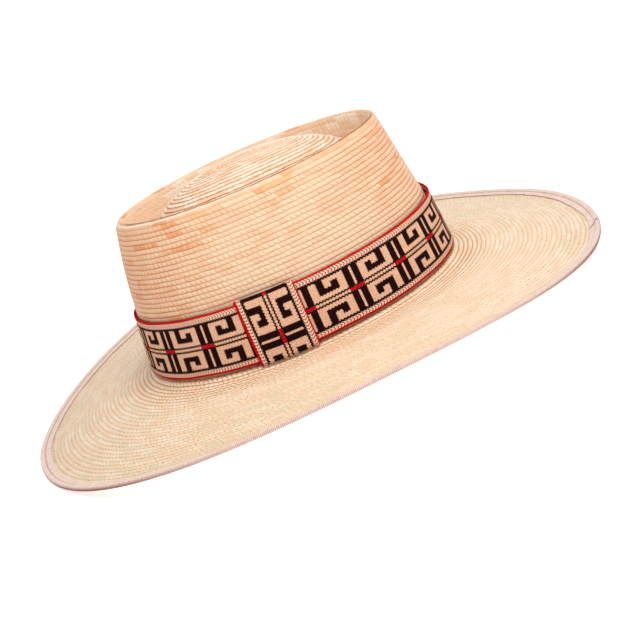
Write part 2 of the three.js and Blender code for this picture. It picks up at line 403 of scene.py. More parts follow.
def smooth_table(table, places, at):
    """Smooth curves through the rows of a table, one for each column.

    Between two rows the curve is the cubic with the rows' values and slopes at its ends, where a
    row's slope is the central difference of its neighbours.
    """
    slopes = np.gradient(table, places, axis=0)
    low = np.clip(np.searchsorted(places, at, side="right") - 1, 0, len(places) - 2)
    step = (places[low + 1] - places[low])[:, None]
    t = (at[:, None] - places[low][:, None]) / step
    start = (1 + 2 * t) * (1 - t) ** 2 * table[low] + t * (1 - t) ** 2 * step * slopes[low]
    end = t * t * (3 - 2 * t) * table[low + 1] + t * t * (t - 1) * step * slopes[low + 1]
    return start + end


def arc_places(across, up):
    """Distance along a line of points, as the running sum of the chords."""
    steps = np.hypot(np.diff(across), np.diff(up))
    return np.concatenate([[0.0], np.cumsum(steps)])


def once_round(columns):
    """Angles of the columns, from the wearer's left towards the back."""
    return np.arange(columns) / columns * 2 * np.pi


def ovals(rings, angles, square_front, square_back):
    """Closed ovals in plan, one for each row of rings.

    With p the squareness at that angle, reach = (|cos|^p + |sin|^p)^(-1/p), x = side cos reach and
    y = half length sin reach.
    """
    across = np.cos(angles)
    along = np.sin(angles)
    front = np.reshape(square_front, (-1, 1))
    back = np.reshape(square_back, (-1, 1))
    power = front + (back - front) * (1 + along) / 2
    reach = (np.abs(across) ** power + np.abs(along) ** power) ** (-1 / power)
    half_length = np.where(along > 0, rings[:, BACK:BACK + 1], rings[:, FRONT:FRONT + 1])
    return rings[:, SIDE:SIDE + 1] * across * reach, half_length * along * reach


def crown_ovals(rings, angles):
    """Ovals of the crown, whose squareness goes from its base's to its crest's with the height."""
    share = rings[:, HEIGHT] / DOME_TOP
    front = CROWN_SQUARENESS[0] + (CREST_SQUARENESS[0] - CROWN_SQUARENESS[0]) * share
    back = CROWN_SQUARENESS[1] + (CREST_SQUARENESS[1] - CROWN_SQUARENESS[1]) * share
    x, y = ovals(rings, angles, front, back)
    return np.stack([x, y, np.broadcast_to(rings[:, HEIGHT:], x.shape)], axis=-1)


def lean(points):
    """Points of the crown turned with it about X and lifted onto the brim."""
    angle = math.atan(LEAN)
    x, y, z = np.moveaxis(points, -1, 0)
    back = y * math.cos(angle) + z * math.sin(angle)
    up = -y * math.sin(angle) + z * math.cos(angle) + CROWN_BASE
    return np.stack([x, back, up], axis=-1)


def grid_frame(points):
    """Normals and onward directions of a grid of closed rings, from the steps between its points.

    Where the rings run from the hat's middle outwards, the normals point out of the hat.
    """
    around = np.roll(points, -1, axis=1) - np.roll(points, 1, axis=1)
    onward = np.gradient(points, axis=0)
    normal = np.cross(onward, around)
    normal /= np.maximum(np.linalg.norm(normal, axis=-1, keepdims=True), 1e-9)
    onward = onward / np.maximum(np.linalg.norm(onward, axis=-1, keepdims=True), 1e-9)
    return normal, onward


def waves(angles, count, harmonics, size, seed):
    """Small seeded waves once round the hat, one row for each of count lines.

    Each is a sum of sines with whole numbers of turns and random phases, scaled to a spread of size.
    """
    rng = np.random.default_rng(seed)
    phase = rng.uniform(0, 2 * np.pi, (count, len(harmonics), 1))
    turns = np.array(harmonics)[None, :, None]
    total = np.sin(turns * angles[None, None, :] + phase).sum(axis=1)
    return total * size / math.sqrt(len(harmonics) / 2)


def row_stations(rows):
    """Row number and place across the row of every ring of points, for rows rows of braid."""
    number = np.repeat(np.arange(rows), len(ROW_PLACE))
    place = np.tile(ROW_PLACE, rows)
    lift = np.tile(ROW_LIFT, rows)
    return number, place, lift


def braid(points, rows, relief, pitch, seed):
    """Skin of braid over smooth rings: each row lifted along the normal by its shingle shape.

    The rows' edges wander by small waves along the skin. The first line has no wave.
    """
    number, place, lift = row_stations(rows)
    columns = points.shape[1]
    turns, size = ROW_WANDER
    wander = waves(once_round(columns), rows + 1, turns, size * pitch, seed)
    wander[0] = 0.0
    shift = wander[number] * (1 - place[:, None]) + wander[number + 1] * place[:, None]
    swell = 1 + waves(once_round(columns), rows, *ROW_SWELL, seed + 1)[number]
    normal, onward = grid_frame(points)
    height = relief * lift[:, None] * swell
    return points + normal * height[..., None] + onward * shift[..., None]


def round_lengths(rings):
    """Distance along closed rings of points, in mm, with the closing step as last column."""
    steps = np.linalg.norm(np.roll(rings, -1, axis=1) - rings, axis=-1)
    return np.concatenate([np.zeros((len(rings), 1)), np.cumsum(steps, axis=1)], axis=1)


def row_lengths(points):
    """Distance along the middle line of each row of braid."""
    return round_lengths(points[ROW_MIDDLE::len(ROW_PLACE)])


def ring_faces(rings, columns, closed):
    """Quads between neighbouring rings of points, and from the last ring to the first if closed."""
    first = np.arange(rings if closed else rings - 1)[:, None]
    second = (first + 1) % rings
    here = np.arange(columns)[None, :]
    there = (here + 1) % columns
    corners = (first * columns + here, first * columns + there,
               second * columns + there, second * columns + here)
    return np.stack(corners, axis=-1).reshape(-1, 4)


def fold_segment(faces, start, columns):
    """Faces whose ring at start is a doubled line: each point there and its mirror image are one."""
    place = np.arange(columns)
    mirrored = (columns // 2 - place) % columns
    table = np.arange(faces.max() + 1)
    table[start:start + columns] = start + np.minimum(place, mirrored)
    return table[faces]


def turned_out(points, faces):
    """Whether the closed skin's faces point outwards: its signed volume is positive."""
    a, b, c, d = (points[faces[:, k]] for k in range(4))
    first = np.einsum("ij,ij->i", a, np.cross(b, c))
    second = np.einsum("ij,ij->i", a, np.cross(c, d))
    return (first + second).sum() > 0


def add_mesh(name, points, faces, uv, material):
    """Object with the points in mm, its faces turned outwards, and a UV pair for each corner."""
    flat = points.reshape(-1, 3)
    if not turned_out(flat, faces):
        faces = faces[:, ::-1]
        uv = uv[:, ::-1]
    used, compact = np.unique(faces, return_inverse=True)
    mesh = bpy.data.meshes.new(name)
    mesh.vertices.add(len(used))
    mesh.vertices.foreach_set("co", (flat[used] * MM).astype(np.float32).ravel())
    mesh.loops.add(faces.size)
    mesh.loops.foreach_set("vertex_index", compact.astype(np.int32).ravel())
    mesh.polygons.add(len(faces))
    mesh.polygons.foreach_set("loop_start", np.arange(0, faces.size, 4, dtype=np.int32))
    mesh.polygons.foreach_set("use_smooth", np.ones(len(faces), dtype=bool))
    layer = mesh.uv_layers.new(name="UVMap")
    layer.data.foreach_set("uv", uv.astype(np.float32).ravel())
    mesh.update(calc_edges=True)
    mesh.validate()
    mesh.materials.append(material)
    piece = bpy.data.objects.new(name, mesh)
    bpy.context.scene.collection.objects.link(piece)
    return piece


def face_uv(low, high, v, next_low, next_high, next_v):
    """UV pairs for the corners of ring faces: u at each face's two sides and v, here and on the
    next ring."""
    pairs = ((low, v), (high, v), (next_high, next_v), (next_low, next_v))
    return np.stack([np.stack(np.broadcast_arrays(*pair), axis=-1) for pair in pairs], axis=2)


def strip_uv(low, high, v):
    """UV pairs where u runs along the rings, with v for each ring."""
    shape = (len(v), low.shape[-1])
    low, high, v = (np.broadcast_to(part, shape) for part in (low, high, v))
    return face_uv(low, high, v, low, high, np.roll(v, -1, axis=0))


def plain_uv(u, v):
    """UV pairs for plain braid, from u with one more column than the rings and v for each ring."""
    low, high = u[:, :-1], u[:, 1:]
    v = np.broadcast_to(v, low.shape)
    return face_uv(low, high, v, *(np.roll(part, -1, axis=0) for part in (low, high, v)))


def braid_uv(lengths, strand, start_row):
    """UVs of braid: u is the distance along the row's middle, v the row and place across it.

    Each row's length is stretched to a whole number of strands, so the pattern closes, and the
    step from one row to the next belongs to the row that it leaves.
    """
    whole = np.maximum(np.round(lengths[:, -1:] / strand), 1) * strand
    along = lengths / np.maximum(lengths[:, -1:], 1e-6) * whole
    number, place, _ = row_stations(len(lengths))
    next_place = np.append(place[1:], 1.0)
    next_place[next_place == 0.0] = 1.0
    low, high = along[number][:, :-1], along[number][:, 1:]
    v = np.broadcast_to((start_row + number + place)[:, None], low.shape)
    next_v = np.broadcast_to((start_row + number + next_place)[:, None], low.shape)
    return face_uv(low, high, v, low, high, next_v)


def add_rings(name, points, pairs, material):
    """Object from closed rings of points, whose last ring joins the first."""
    faces = ring_faces(len(points), points.shape[1], True)
    return add_mesh(name, points, faces, pairs.reshape(-1, 4, 2), material)


def shell(name, outer, outer_uv, inner, inner_pairs, folded, material):
    """Closed shell from outer rings and inner rings that come back to the first one.

    folded says that the first outer and the last inner ring are doubled lines, which close it.
    """
    columns = outer.shape[1]
    points = np.concatenate([outer, inner])
    faces = ring_faces(len(points), columns, not folded)
    uv = np.concatenate([outer_uv, inner_pairs]).reshape(-1, 4, 2)[:len(faces)]
    if folded:
        faces = fold_segment(faces, 0, columns)
        faces = fold_segment(faces, (len(points) - 1) * columns, columns)
    return add_mesh(name, points, faces, uv, material)


def wall_profile(at):
    """Rings of the crown's wall at distances down the wall from the seam at its crest."""
    table = WALL_RINGS[::-1]
    places = arc_places(table[:, SIDE], table[:, HEIGHT])
    return smooth_table(table, places, at), places[-1]


def dome_table():
    """Rings from the dome's middle line out through the groove, each ring's distance, and the
    distance of the dome's foot.

    On the dome the rings are the foot's oval drawn in by equal steps, so that they end in a line.
    """
    inward = np.linspace(GROOVE_RINGS[0, SIDE], 0.0, DOME_SAMPLES)
    share = 1 - inward / GROOVE_RINGS[0, SIDE]
    dome = GROOVE_RINGS[0] - inward[:, None] * (1, 1, 1, 0)
    dome[:, HEIGHT] = dome_height(share)
    places = arc_places(GROOVE_RINGS[:, SIDE], GROOVE_RINGS[:, HEIGHT])
    at = np.linspace(0, 1, GROOVE_SAMPLES)[1:] * places[-1]
    groove = smooth_table(GROOVE_RINGS, places, at)
    groove[-1] += RIM_CLOSE
    table = np.concatenate([dome, groove])
    places = arc_places(table[:, SIDE], table[:, HEIGHT])
    return table, places, places[DOME_SAMPLES - 1]


def dome_height(share):
    """Height of the dome, top - rise (1 - sqrt(1 - s^2)), with s the share of the way out."""
    return DOME_TOP - DOME_RISE * (1 - np.sqrt(np.clip(1 - share ** 2, 0, 1)))


def dome_points(at, angles):
    """Points of the crown's top at distances from its middle line.

    On the dome the height is dome_height of the share of the way from the middle to the foot, in
    the direction of each point.
    """
    table, places, foot_place = dome_table()
    rings = np.stack([np.interp(at, places, table[:, k]) for k in range(4)], axis=-1)
    points = crown_ovals(rings, angles)
    foot = GROOVE_RINGS[0]
    share_x = points[..., 0] / foot[SIDE]
    share_y = points[..., 1] / np.where(points[..., 1] > 0, foot[BACK], foot[FRONT])
    direction = np.arctan2(share_y, share_x)
    unit = np.array([(1.0, 1.0, 1.0, foot[HEIGHT])])
    edge = crown_ovals(unit, direction.ravel())[0].reshape(points.shape)
    share = np.hypot(share_x, share_y) / np.hypot(edge[..., 0], edge[..., 1])
    on_dome = (at <= foot_place)[:, None]
    points[..., 2] = np.where(on_dome, dome_height(share), points[..., 2])
    return points


def edge_rise(angles):
    """Height of the underside of the brim's edge: nought at the tips and highest at the sides."""
    sideways = np.maximum(0, (np.abs(np.cos(angles)) - TIP_LAND) / (1 - TIP_LAND))
    power = RISE[0] + (RISE[1] - RISE[0]) * (1 + np.sin(angles)) / 2
    return SIDE_RISE * sideways ** power


def brim_points(share, lift, angles):
    """Points of the brim, share of the way from the head opening to the straw's edge.

    In plan they lie on the straight line between the two ovals. The height goes from the crown's
    plane to the edge with share^BRIM_CURVE, less the turn at the edge, plus lift above the
    underside. share and lift have a row for each ring and one column, or one for each angle.
    """
    start = np.stack(ovals(HEAD_RING, angles, *CROWN_SQUARENESS), -1)
    end = np.stack(ovals(BRIM_EDGE, angles, *BRIM_SQUARENESS), -1)
    plan = start + (end - start) * share[..., None]
    from_height = CROWN_BASE - LEAN * start[..., 1] - BRIM_THICKNESS - SEAT
    to_height = edge_rise(angles)[None, :] + TAPE_OUT
    inward = np.maximum(1 - share, 0) * BRIM_REACH
    turn = EDGE_TURN * inward * np.exp(-inward / EDGE_TURN_REACH)
    height = from_height + (to_height - from_height) * share ** BRIM_CURVE - turn + lift
    return np.concatenate([plan, height[..., None]], axis=-1)


def band_ovals(height, out):
    """Half sizes of the band's faces at heights above its lower edge, out from its outer face."""
    share = height / BAND_WIDTH
    rings = BAND_RINGS[0] + (BAND_RINGS[1] - BAND_RINGS[0]) * share[:, None]
    rings[:, :HEIGHT] += out[:, None]
    rings[:, HEIGHT] = BAND_BOTTOM + height
    return rings


def bulge(y):
    """How far the keeper's hidden layer pushes the band out, as a bell curve along the side."""
    return KEEPER_BULGE * np.exp(-(((y - KEEPER_PLACE) / BULGE_REACH) ** 2))


def band_points(height, out, angles):
    """Points of the band at heights and distances out, with the bulge under the keeper."""
    rings = band_ovals(height, out)
    x, y = ovals(rings, angles, *CROWN_SQUARENESS)
    x = np.where(x > 0, x + bulge(y), x)
    return np.stack([x, y, np.broadcast_to(rings[:, HEIGHT:], x.shape)], axis=-1)


def left_face(y, height, out):
    """Points on the wearer's left face of the band, from places along the hat, point by point."""
    share = np.clip(height, 0, BAND_WIDTH) / BAND_WIDTH
    sizes = BAND_RINGS[0] + (BAND_RINGS[1] - BAND_RINGS[0]) * share[..., None] + out[..., None]
    power = sum(CROWN_SQUARENESS) / 2
    half_length = np.where(y > 0, sizes[..., BACK], sizes[..., FRONT])
    reach = (1 - np.abs(y / half_length) ** power) ** (1 / power)
    x = sizes[..., SIDE] * reach + bulge(y)
    return np.stack([x, y, BAND_BOTTOM + height], axis=-1)


def band_cells(lengths):
    """Pattern coordinate along the band: whole numbers lie at the middles of the separators.

    lengths run once round from the wearer's left. The strip's ends meet under the keeper, so what
    lies past that joint is counted back from the first separator.
    """
    places = sorted((s if s > BAND_JOINT else s + BAND_LENGTH, k) for k, s in SEPARATORS.items())
    known = np.array([p for p, _ in places])
    cell = np.array([k for _, k in places], dtype=float)
    along = np.where(lengths > BAND_JOINT + BAND_LENGTH, lengths - BAND_LENGTH, lengths)
    before = cell[0] + (along - known[0]) / PERIOD
    after = cell[-1] + (along - known[-1]) / (known[-1] - known[-2])
    inside = np.interp(along, known, cell)
    return np.where(along < known[0], before, np.where(along > known[-1], after, inside))


def node(tree, kind, *values, sockets=None, out=0, stops=(), steps=False, **settings):
    """Adds a node with its settings and links, and returns the output asked for.

    kind is the node's type without the word ShaderNode, or in capitals an operation of the Math
    node. values go to its input sockets in order, and sockets to those that it names: each is the
    output of another node, a number or a colour. stops are pairs for a colour ramp, of a place and
    a colour or grey number, with hard steps between them or not.
    """
    made = tree.nodes.new("ShaderNodeMath" if kind.isupper() else "ShaderNode" + kind)
    if kind.isupper():
        made.operation = kind
    for key, value in settings.items():
        setattr(made, key, value)
    for key, value in {**dict(enumerate(values)), **(sockets or {})}.items():
        socket = made.inputs[key]
        if isinstance(value, bpy.types.NodeSocket):
            tree.links.new(value, socket)
        else:
            socket.default_value = (*value, 1.0) if socket.type == "RGBA" else value
    if stops:
        ramp = made.color_ramp
        ramp.interpolation = "CONSTANT" if steps else "LINEAR"
        while len(ramp.elements) < len(stops):
            ramp.elements.new(1.0)
        for element, (place, colour) in zip(ramp.elements, stops):
            element.position = place
            element.color = (*((colour,) * 3 if isinstance(colour, float) else colour), 1.0)
    return made.outputs[out]


def new_material(name, roughness, specular, sheen=0.0):
    """New material with its uniform numbers on the shader, and the function that adds its nodes."""
    material = bpy.data.materials.new(name)
    material.use_nodes = True
    inputs = shader_inputs(material)
    inputs["Roughness"].default_value = roughness
    inputs["IOR"].default_value = 1.5
    inputs["Specular IOR Level"].default_value = specular
    inputs["Sheen Weight"].default_value = sheen
    return material, partial(node, material.node_tree)


def shader_inputs(material):
    return material.node_tree.nodes["Principled BSDF"].inputs


def feed_shader(material, colour, height=None, strength=0.0, depth=0.0):
    """Links a colour to the material's shader, and a bump of a height and a depth in mm."""
    tree = material.node_tree
    inputs = shader_inputs(material)
    tree.links.new(colour, inputs["Base Color"])
    if height is not None:
        bump = node(tree, "Bump", sockets={"Height": height, "Strength": strength,
                                           "Distance": depth * MM})
        tree.links.new(bump, inputs["Normal"])
    return material


# The Object output of the Texture Coordinate node, the two colour inputs of the Mix node, and what
# sets that node to mix two colours or to multiply the first by the second.
OBJECT_OUT = 3
FIRST, SECOND = 6, 7
MIXED = {"out": 2, "data_type": "RGBA"}
MULTIPLIED = {**MIXED, "blend_type": "MULTIPLY"}

# How far the braid's strands lean along the row from its inner to its outer edge, how many strands
# keep one shade, how far apart the sewing thread shows, in mm, the size in metres over which the
# straw's shades drift, the range of the rows' random starts, how far the shades are moved towards
# the palest, and the flecks of fibre across a row. A piece with no crest has NO_CREST as its
# crest's row.
BRAID_LEAN = 2.2
STRANDS_A_STRIP = 3.0
STITCH_PITCH = 4.5
DRIFT_SIZE = 0.05
START_RANGE = 97.0
COMMON_SHADE = -0.41
FLECKS_A_ROW = 6.0
NO_CREST = -2

# The shadow between two strands: its middle across the row, and how it fades across the row and
# along it. Then how a row's line changes from stretch to stretch, from weak to strong. Each fade is
# a range of values and the two strengths at its ends. The thread's dots have their middle and half
# width in a stitch, and lie up to STITCH_EDGE across the row.
DASH_PLACE = 0.55
DASH_ACROSS = (0.12, 0.4, 1.0, 0.0)
DASH_ALONG = (0.02, 0.13, 1.0, 0.0)
LINE_STRETCH = (0.32, 0.68, 0.3, 1.45)
STITCH_DOT = (0.5, 0.13)
STITCH_EDGE = 0.24


def braid_pattern(add, strand):
    """Coordinates of the braid in one row, as a dictionary of outputs.

    The row's number and the place across it come from the UV map, the distance along it is shifted
    by a random start of its own, and the strands lean by BRAID_LEAN across the row.
    """
    uv = add("SeparateXYZ", add("UVMap", uv_map="UVMap"))
    across = uv.node.outputs[1]
    row = add("FLOOR", across)
    place = add("FRACT", across)
    start = add("TexWhiteNoise", sockets={"W": row}, noise_dimensions="1D")
    along = add("MULTIPLY_ADD", start, START_RANGE, uv)
    slanted = add("MULTIPLY_ADD", place, -BRAID_LEAN, along)
    crossing = add("DIVIDE", slanted, strand)
    number = add("FLOOR", crossing)
    own = add("TexWhiteNoise", add("CombineXYZ", number, row), noise_dimensions="2D")
    strip = add("FLOOR", add("DIVIDE", number, STRANDS_A_STRIP))
    shade = add("TexWhiteNoise", add("CombineXYZ", strip, row, 7.0), noise_dimensions="3D")
    beside = add("PINGPONG", add("FRACT", crossing), 0.5)
    return {"across": across, "row": row, "place": place, "along": along, "slanted": slanted,
            "beside": beside, "own": own, "shade": shade}


def braid_material(name, straw, strips, line, look):
    """Sewn palm braid: strands of split palm leaf, plaited flat and sewn row over row.

    Palm leaf is matt with a faint gloss along its fibres. Each strand keeps its own shade for a few
    crossings and has a painted highlight along its middle, painted shadows lie between the strands,
    and under the overlapped edges lie thin brown lines of painted shadow. strips is a list of ramp
    stops for the shades and line what a row line's painted shadow leaves of them.

    look holds the strengths of the details. In it, reach is half the piece's length in metres. Ramps
    named edge run across a row, and gape (how deep the painted shadow lines are) and the ramp of
    painted shade on the straw run from the front of the piece to its back. near and far are the
    strengths of the painted lines and dashes before near_row and past far_row, no dash shows before
    calm_row, and past turn_row the shades are moved by warmer. front moves them at the front of the
    piece, speck is the number of flecks in a millimetre of a strand, and crest_row is the row that
    carries the painted shadow of the crest's fold.
    """
    material, add = new_material(name, 0.6, 0.35, 0.05)
    at = braid_pattern(add, straw.strand / MM)
    row, place, own, beside = at["row"], at["place"], at["own"], at["beside"]

    # Leaves from one harvest lie together, so the shades drift over some centimetres.
    spot = add("TexCoord", out=OBJECT_OUT)
    drift = add("TexNoise", spot, sockets={"Scale": 1 / DRIFT_SIZE, "Detail": 2.0})
    turn = look["turn_row"]
    warmer = add("MapRange", row, turn - 0.5, turn + 0.5, COMMON_SHADE,
                 look["warmer"] + COMMON_SHADE)
    length = add("SeparateXYZ", spot, out=1)
    back = add("MULTIPLY_ADD", length, 0.5 / look["reach"], 0.5)
    front = add("MapRange", back, 0.0, 0.35, look["front"], 0.0)
    chance = add("ADD", add("MULTIPLY_ADD", drift, 0.9, warmer), front)
    chance = add("ADD", at["shade"], chance, use_clamp=True)
    colour = add("ValToRGB", chance, stops=strips, steps=True)

    fibre_at = add("CombineXYZ", add("MULTIPLY", at["slanted"], look["speck"]),
                   add("MULTIPLY", at["across"], FLECKS_A_ROW))
    fibre = add("TexNoise", fibre_at, sockets={"Scale": 1.0, "Detail": 2.0})
    tint = add("MULTIPLY_ADD", own, 0.06, 0.955 - look["fibre"] / 2 - look["strands"] / 4)
    tint = add("MULTIPLY_ADD", fibre, look["fibre"], tint)
    # Painted highlight along the middle of each strand, fading towards its ends.
    tint = add("MULTIPLY_ADD", beside, look["strands"], tint)
    colour = add("Mix", 1.0, sockets={FIRST: colour, SECOND: tint}, **MULTIPLIED)
    # Painted shade: the straw is darker and warmer where each piece's ramp gives it, at its front and
    # back ends.
    end_shade = add("ValToRGB", back, stops=look["end_shade"])
    colour = add("Mix", end_shade, sockets={FIRST: colour, SECOND: straw.peach}, **MULTIPLIED)

    # Shadows between strands, across the row's middle, on some strands only.
    inner = add("ABSOLUTE", add("SUBTRACT", place, DASH_PLACE))
    dash = add("MULTIPLY", add("MapRange", beside, *DASH_ALONG),
               add("MapRange", inner, *DASH_ACROSS))
    calm = look["calm_row"]
    # near scales the painted lines and dashes by row; on the brim they are deepest in its first rows,
    # as painted shade of the band and crown over them.
    near = add("MapRange", row, look["near_row"], look["far_row"], look["near"], look["far"])
    for share in (own, add("MapRange", row, calm - 0.5, calm + 0.5, 0.0, look["dash"]), near):
        dash = add("MULTIPLY", dash, share)
    colour = add("Mix", dash, sockets={FIRST: colour, SECOND: straw.dash}, **MULTIPLIED)

    # Painted shadow lines under the rows' overlapping edges, stronger in some rows and stretches than
    # # in others, and set by gape from the front of the piece to its back.
    stretch_at = add("CombineXYZ", add("MULTIPLY", at["along"], 0.03), row)
    stretch = add("TexNoise", stretch_at, sockets={"Scale": 1.0, "Detail": 5.0, "Roughness": 0.8})
    edge = add("ValToRGB", place, stops=look["edge"])
    for share in (add("MapRange", stretch, *LINE_STRETCH), near,
                  add("ValToRGB", back, stops=look["gape"]),
                  add("GREATER_THAN", row, look["crest_row"] + 1.5)):
        edge = add("MULTIPLY", edge, share)
    dark = add("Mix", 1.0, sockets={FIRST: colour, SECOND: line}, **MULTIPLIED)
    dark = add("Mix", 1.0, sockets={FIRST: dark, SECOND: line}, **MULTIPLIED)
    colour = add("Mix", edge, sockets={FIRST: colour, SECOND: dark}, **MIXED)

    if look["crest_row"] > 0:
        colour = add_crest_lines(add, straw, at, spot, colour, look["crest_row"])
    if look["stitch"]:
        step = add("FRACT", add("DIVIDE", at["along"], STITCH_PITCH))
        dot = add("COMPARE", step, *STITCH_DOT)
        for share in (add("LESS_THAN", place, STITCH_EDGE), near, own):
            dot = add("MULTIPLY", dot, share)
        dot = add("MULTIPLY", dot, look["stitch"], use_clamp=True)
        colour = add("Mix", dot, sockets={FIRST: colour, SECOND: straw.stitch}, **MIXED)
    height = add("MULTIPLY_ADD", fibre, 0.4, add("MULTIPLY", beside, 1.2))
    return feed_shader(material, colour, height, 0.35, 0.5)


def add_crest_lines(add, straw, at, spot, colour, first_row):
    """Pale row on the crest's shoulder at the front, the shoulder a little darker than the walls
    elsewhere, and the thin painted shadow of the fold on top of the crest, on the wearer's left only."""
    row, place = at["row"], at["place"]
    side = add("SeparateXYZ", spot)
    shoulder = add("COMPARE", row, first_row + 1.0, 0.5)
    lit = add("MULTIPLY", shoulder, 0.25)
    colour = add("Mix", lit, sockets={FIRST: colour, SECOND: straw.peach}, **MULTIPLIED)
    pale = add("MULTIPLY", shoulder, add("LESS_THAN", place, 0.5))
    forward = add("MapRange", side.node.outputs[1], -0.05, 0.03, 0.7, 0.0)
    pale = add("MULTIPLY", pale, forward)
    colour = add("Mix", pale, sockets={FIRST: colour, SECOND: straw.ridge}, **MIXED)
    # Painted shadow of the crease where the braid folds at the crest, ragged, and only on the wearer's
    # left.
    ragged = add("TexNoise", spot, sockets={"Scale": 260.0, "Detail": 2.0})
    ragged = add("MULTIPLY_ADD", ragged, 0.5, place)
    fold = add("ValToRGB", ragged, stops=[(0.6, 0.0), (0.68, 1.0), (1.0, 1.0)])
    fold = add("MULTIPLY", fold, add("MapRange", side, 0.004, 0.02, 0.0, 0.9))
    fold = add("MULTIPLY", fold, add("COMPARE", row, first_row, 0.5))
    return add("Mix", fold, sockets={FIRST: colour, SECOND: straw.fold}, **MIXED)


def wall_material(straw):
    strips = [(0.0, straw.cream), (0.34, straw.pink), (0.64, straw.peach), (0.93, straw.orange),
              (0.99, straw.ochre)]
    look = {
        "edge": [(0.0, 0.8), (0.1, 0.3), (0.22, 0.0), (0.5, 0.0), (0.82, 0.25), (0.965, 1.0)],
        "gape": [(0.0, 1.0), (0.12, 0.7), (0.35, 0.3), (0.7, 0.4), (0.88, 0.7), (1.0, 1.0)],
        "end_shade": [(0.0, 0.42), (0.3, 0.0), (0.6, 0.0), (1.0, 0.3)],
        "strands": 0.06, "fibre": 0.27, "speck": 0.7, "dash": 0.8, "stitch": 0.0, "front": 0.14,
        "calm_row": WALL_FIRST_ROW + 2.0, "near_row": 0.0, "far_row": 1.0, "near": 1.3, "far": 1.3,
        "turn_row": WALL_FIRST_ROW + 12.0, "warmer": -0.2, "crest_row": WALL_FIRST_ROW,
        "reach": 0.1,
    }
    return braid_material("sewn palm braid, honey", straw, strips, straw.crown_line, look)


def top_material(straw, dome_rows):
    strips = [(0.0, straw.ridge), (0.7, straw.cream), (0.85, straw.pink)]
    look = {
        "edge": [(0.0, 1.0), (0.1, 0.9), (0.26, 0.15), (0.5, 0.0), (0.9, 0.0), (0.965, 1.0)],
        "gape": [(0.0, 1.0), (1.0, 1.0)], "end_shade": [(0.0, 0.0), (1.0, 0.0)],
        "strands": 0.08, "fibre": 0.14, "speck": 0.5, "dash": 0.5, "stitch": 1.6, "front": 0.25,
        "calm_row": 0.0, "near_row": dome_rows - 0.5, "far_row": dome_rows + 0.5, "near": 0.75,
        "far": 0.1, "turn_row": dome_rows, "warmer": 0.5, "crest_row": NO_CREST, "reach": 0.1,
    }
    return braid_material("sewn palm braid, ridged", straw, strips, straw.crown_line, look)


def brim_material(straw):
    strips = [(0.0, straw.brim_cream), (0.5, straw.brim_warm), (0.985, straw.grey)]
    look = {
        "edge": [(0.0, 1.0), (0.08, 0.8), (0.16, 0.1), (0.5, 0.0), (0.9, 0.0), (0.965, 1.0)],
        "gape": [(0.0, 0.38), (0.25, 0.62), (0.5, 0.7), (0.8, 0.65), (1.0, 0.65)],
        "end_shade": [(0.0, 0.06), (0.3, 0.0)],
        "strands": 0.12, "fibre": 0.34, "speck": 0.9, "dash": 1.0, "stitch": 1.8, "front": 0.12,
        "calm_row": 0.0, "near_row": 2.0, "far_row": 9.0, "near": 2.8, "far": 0.6, "turn_row": 0.0,
        "warmer": 0.0, "crest_row": NO_CREST, "reach": 0.195,
    }
    return braid_material("sewn palm braid, cream", straw, strips, straw.brim_line, look)


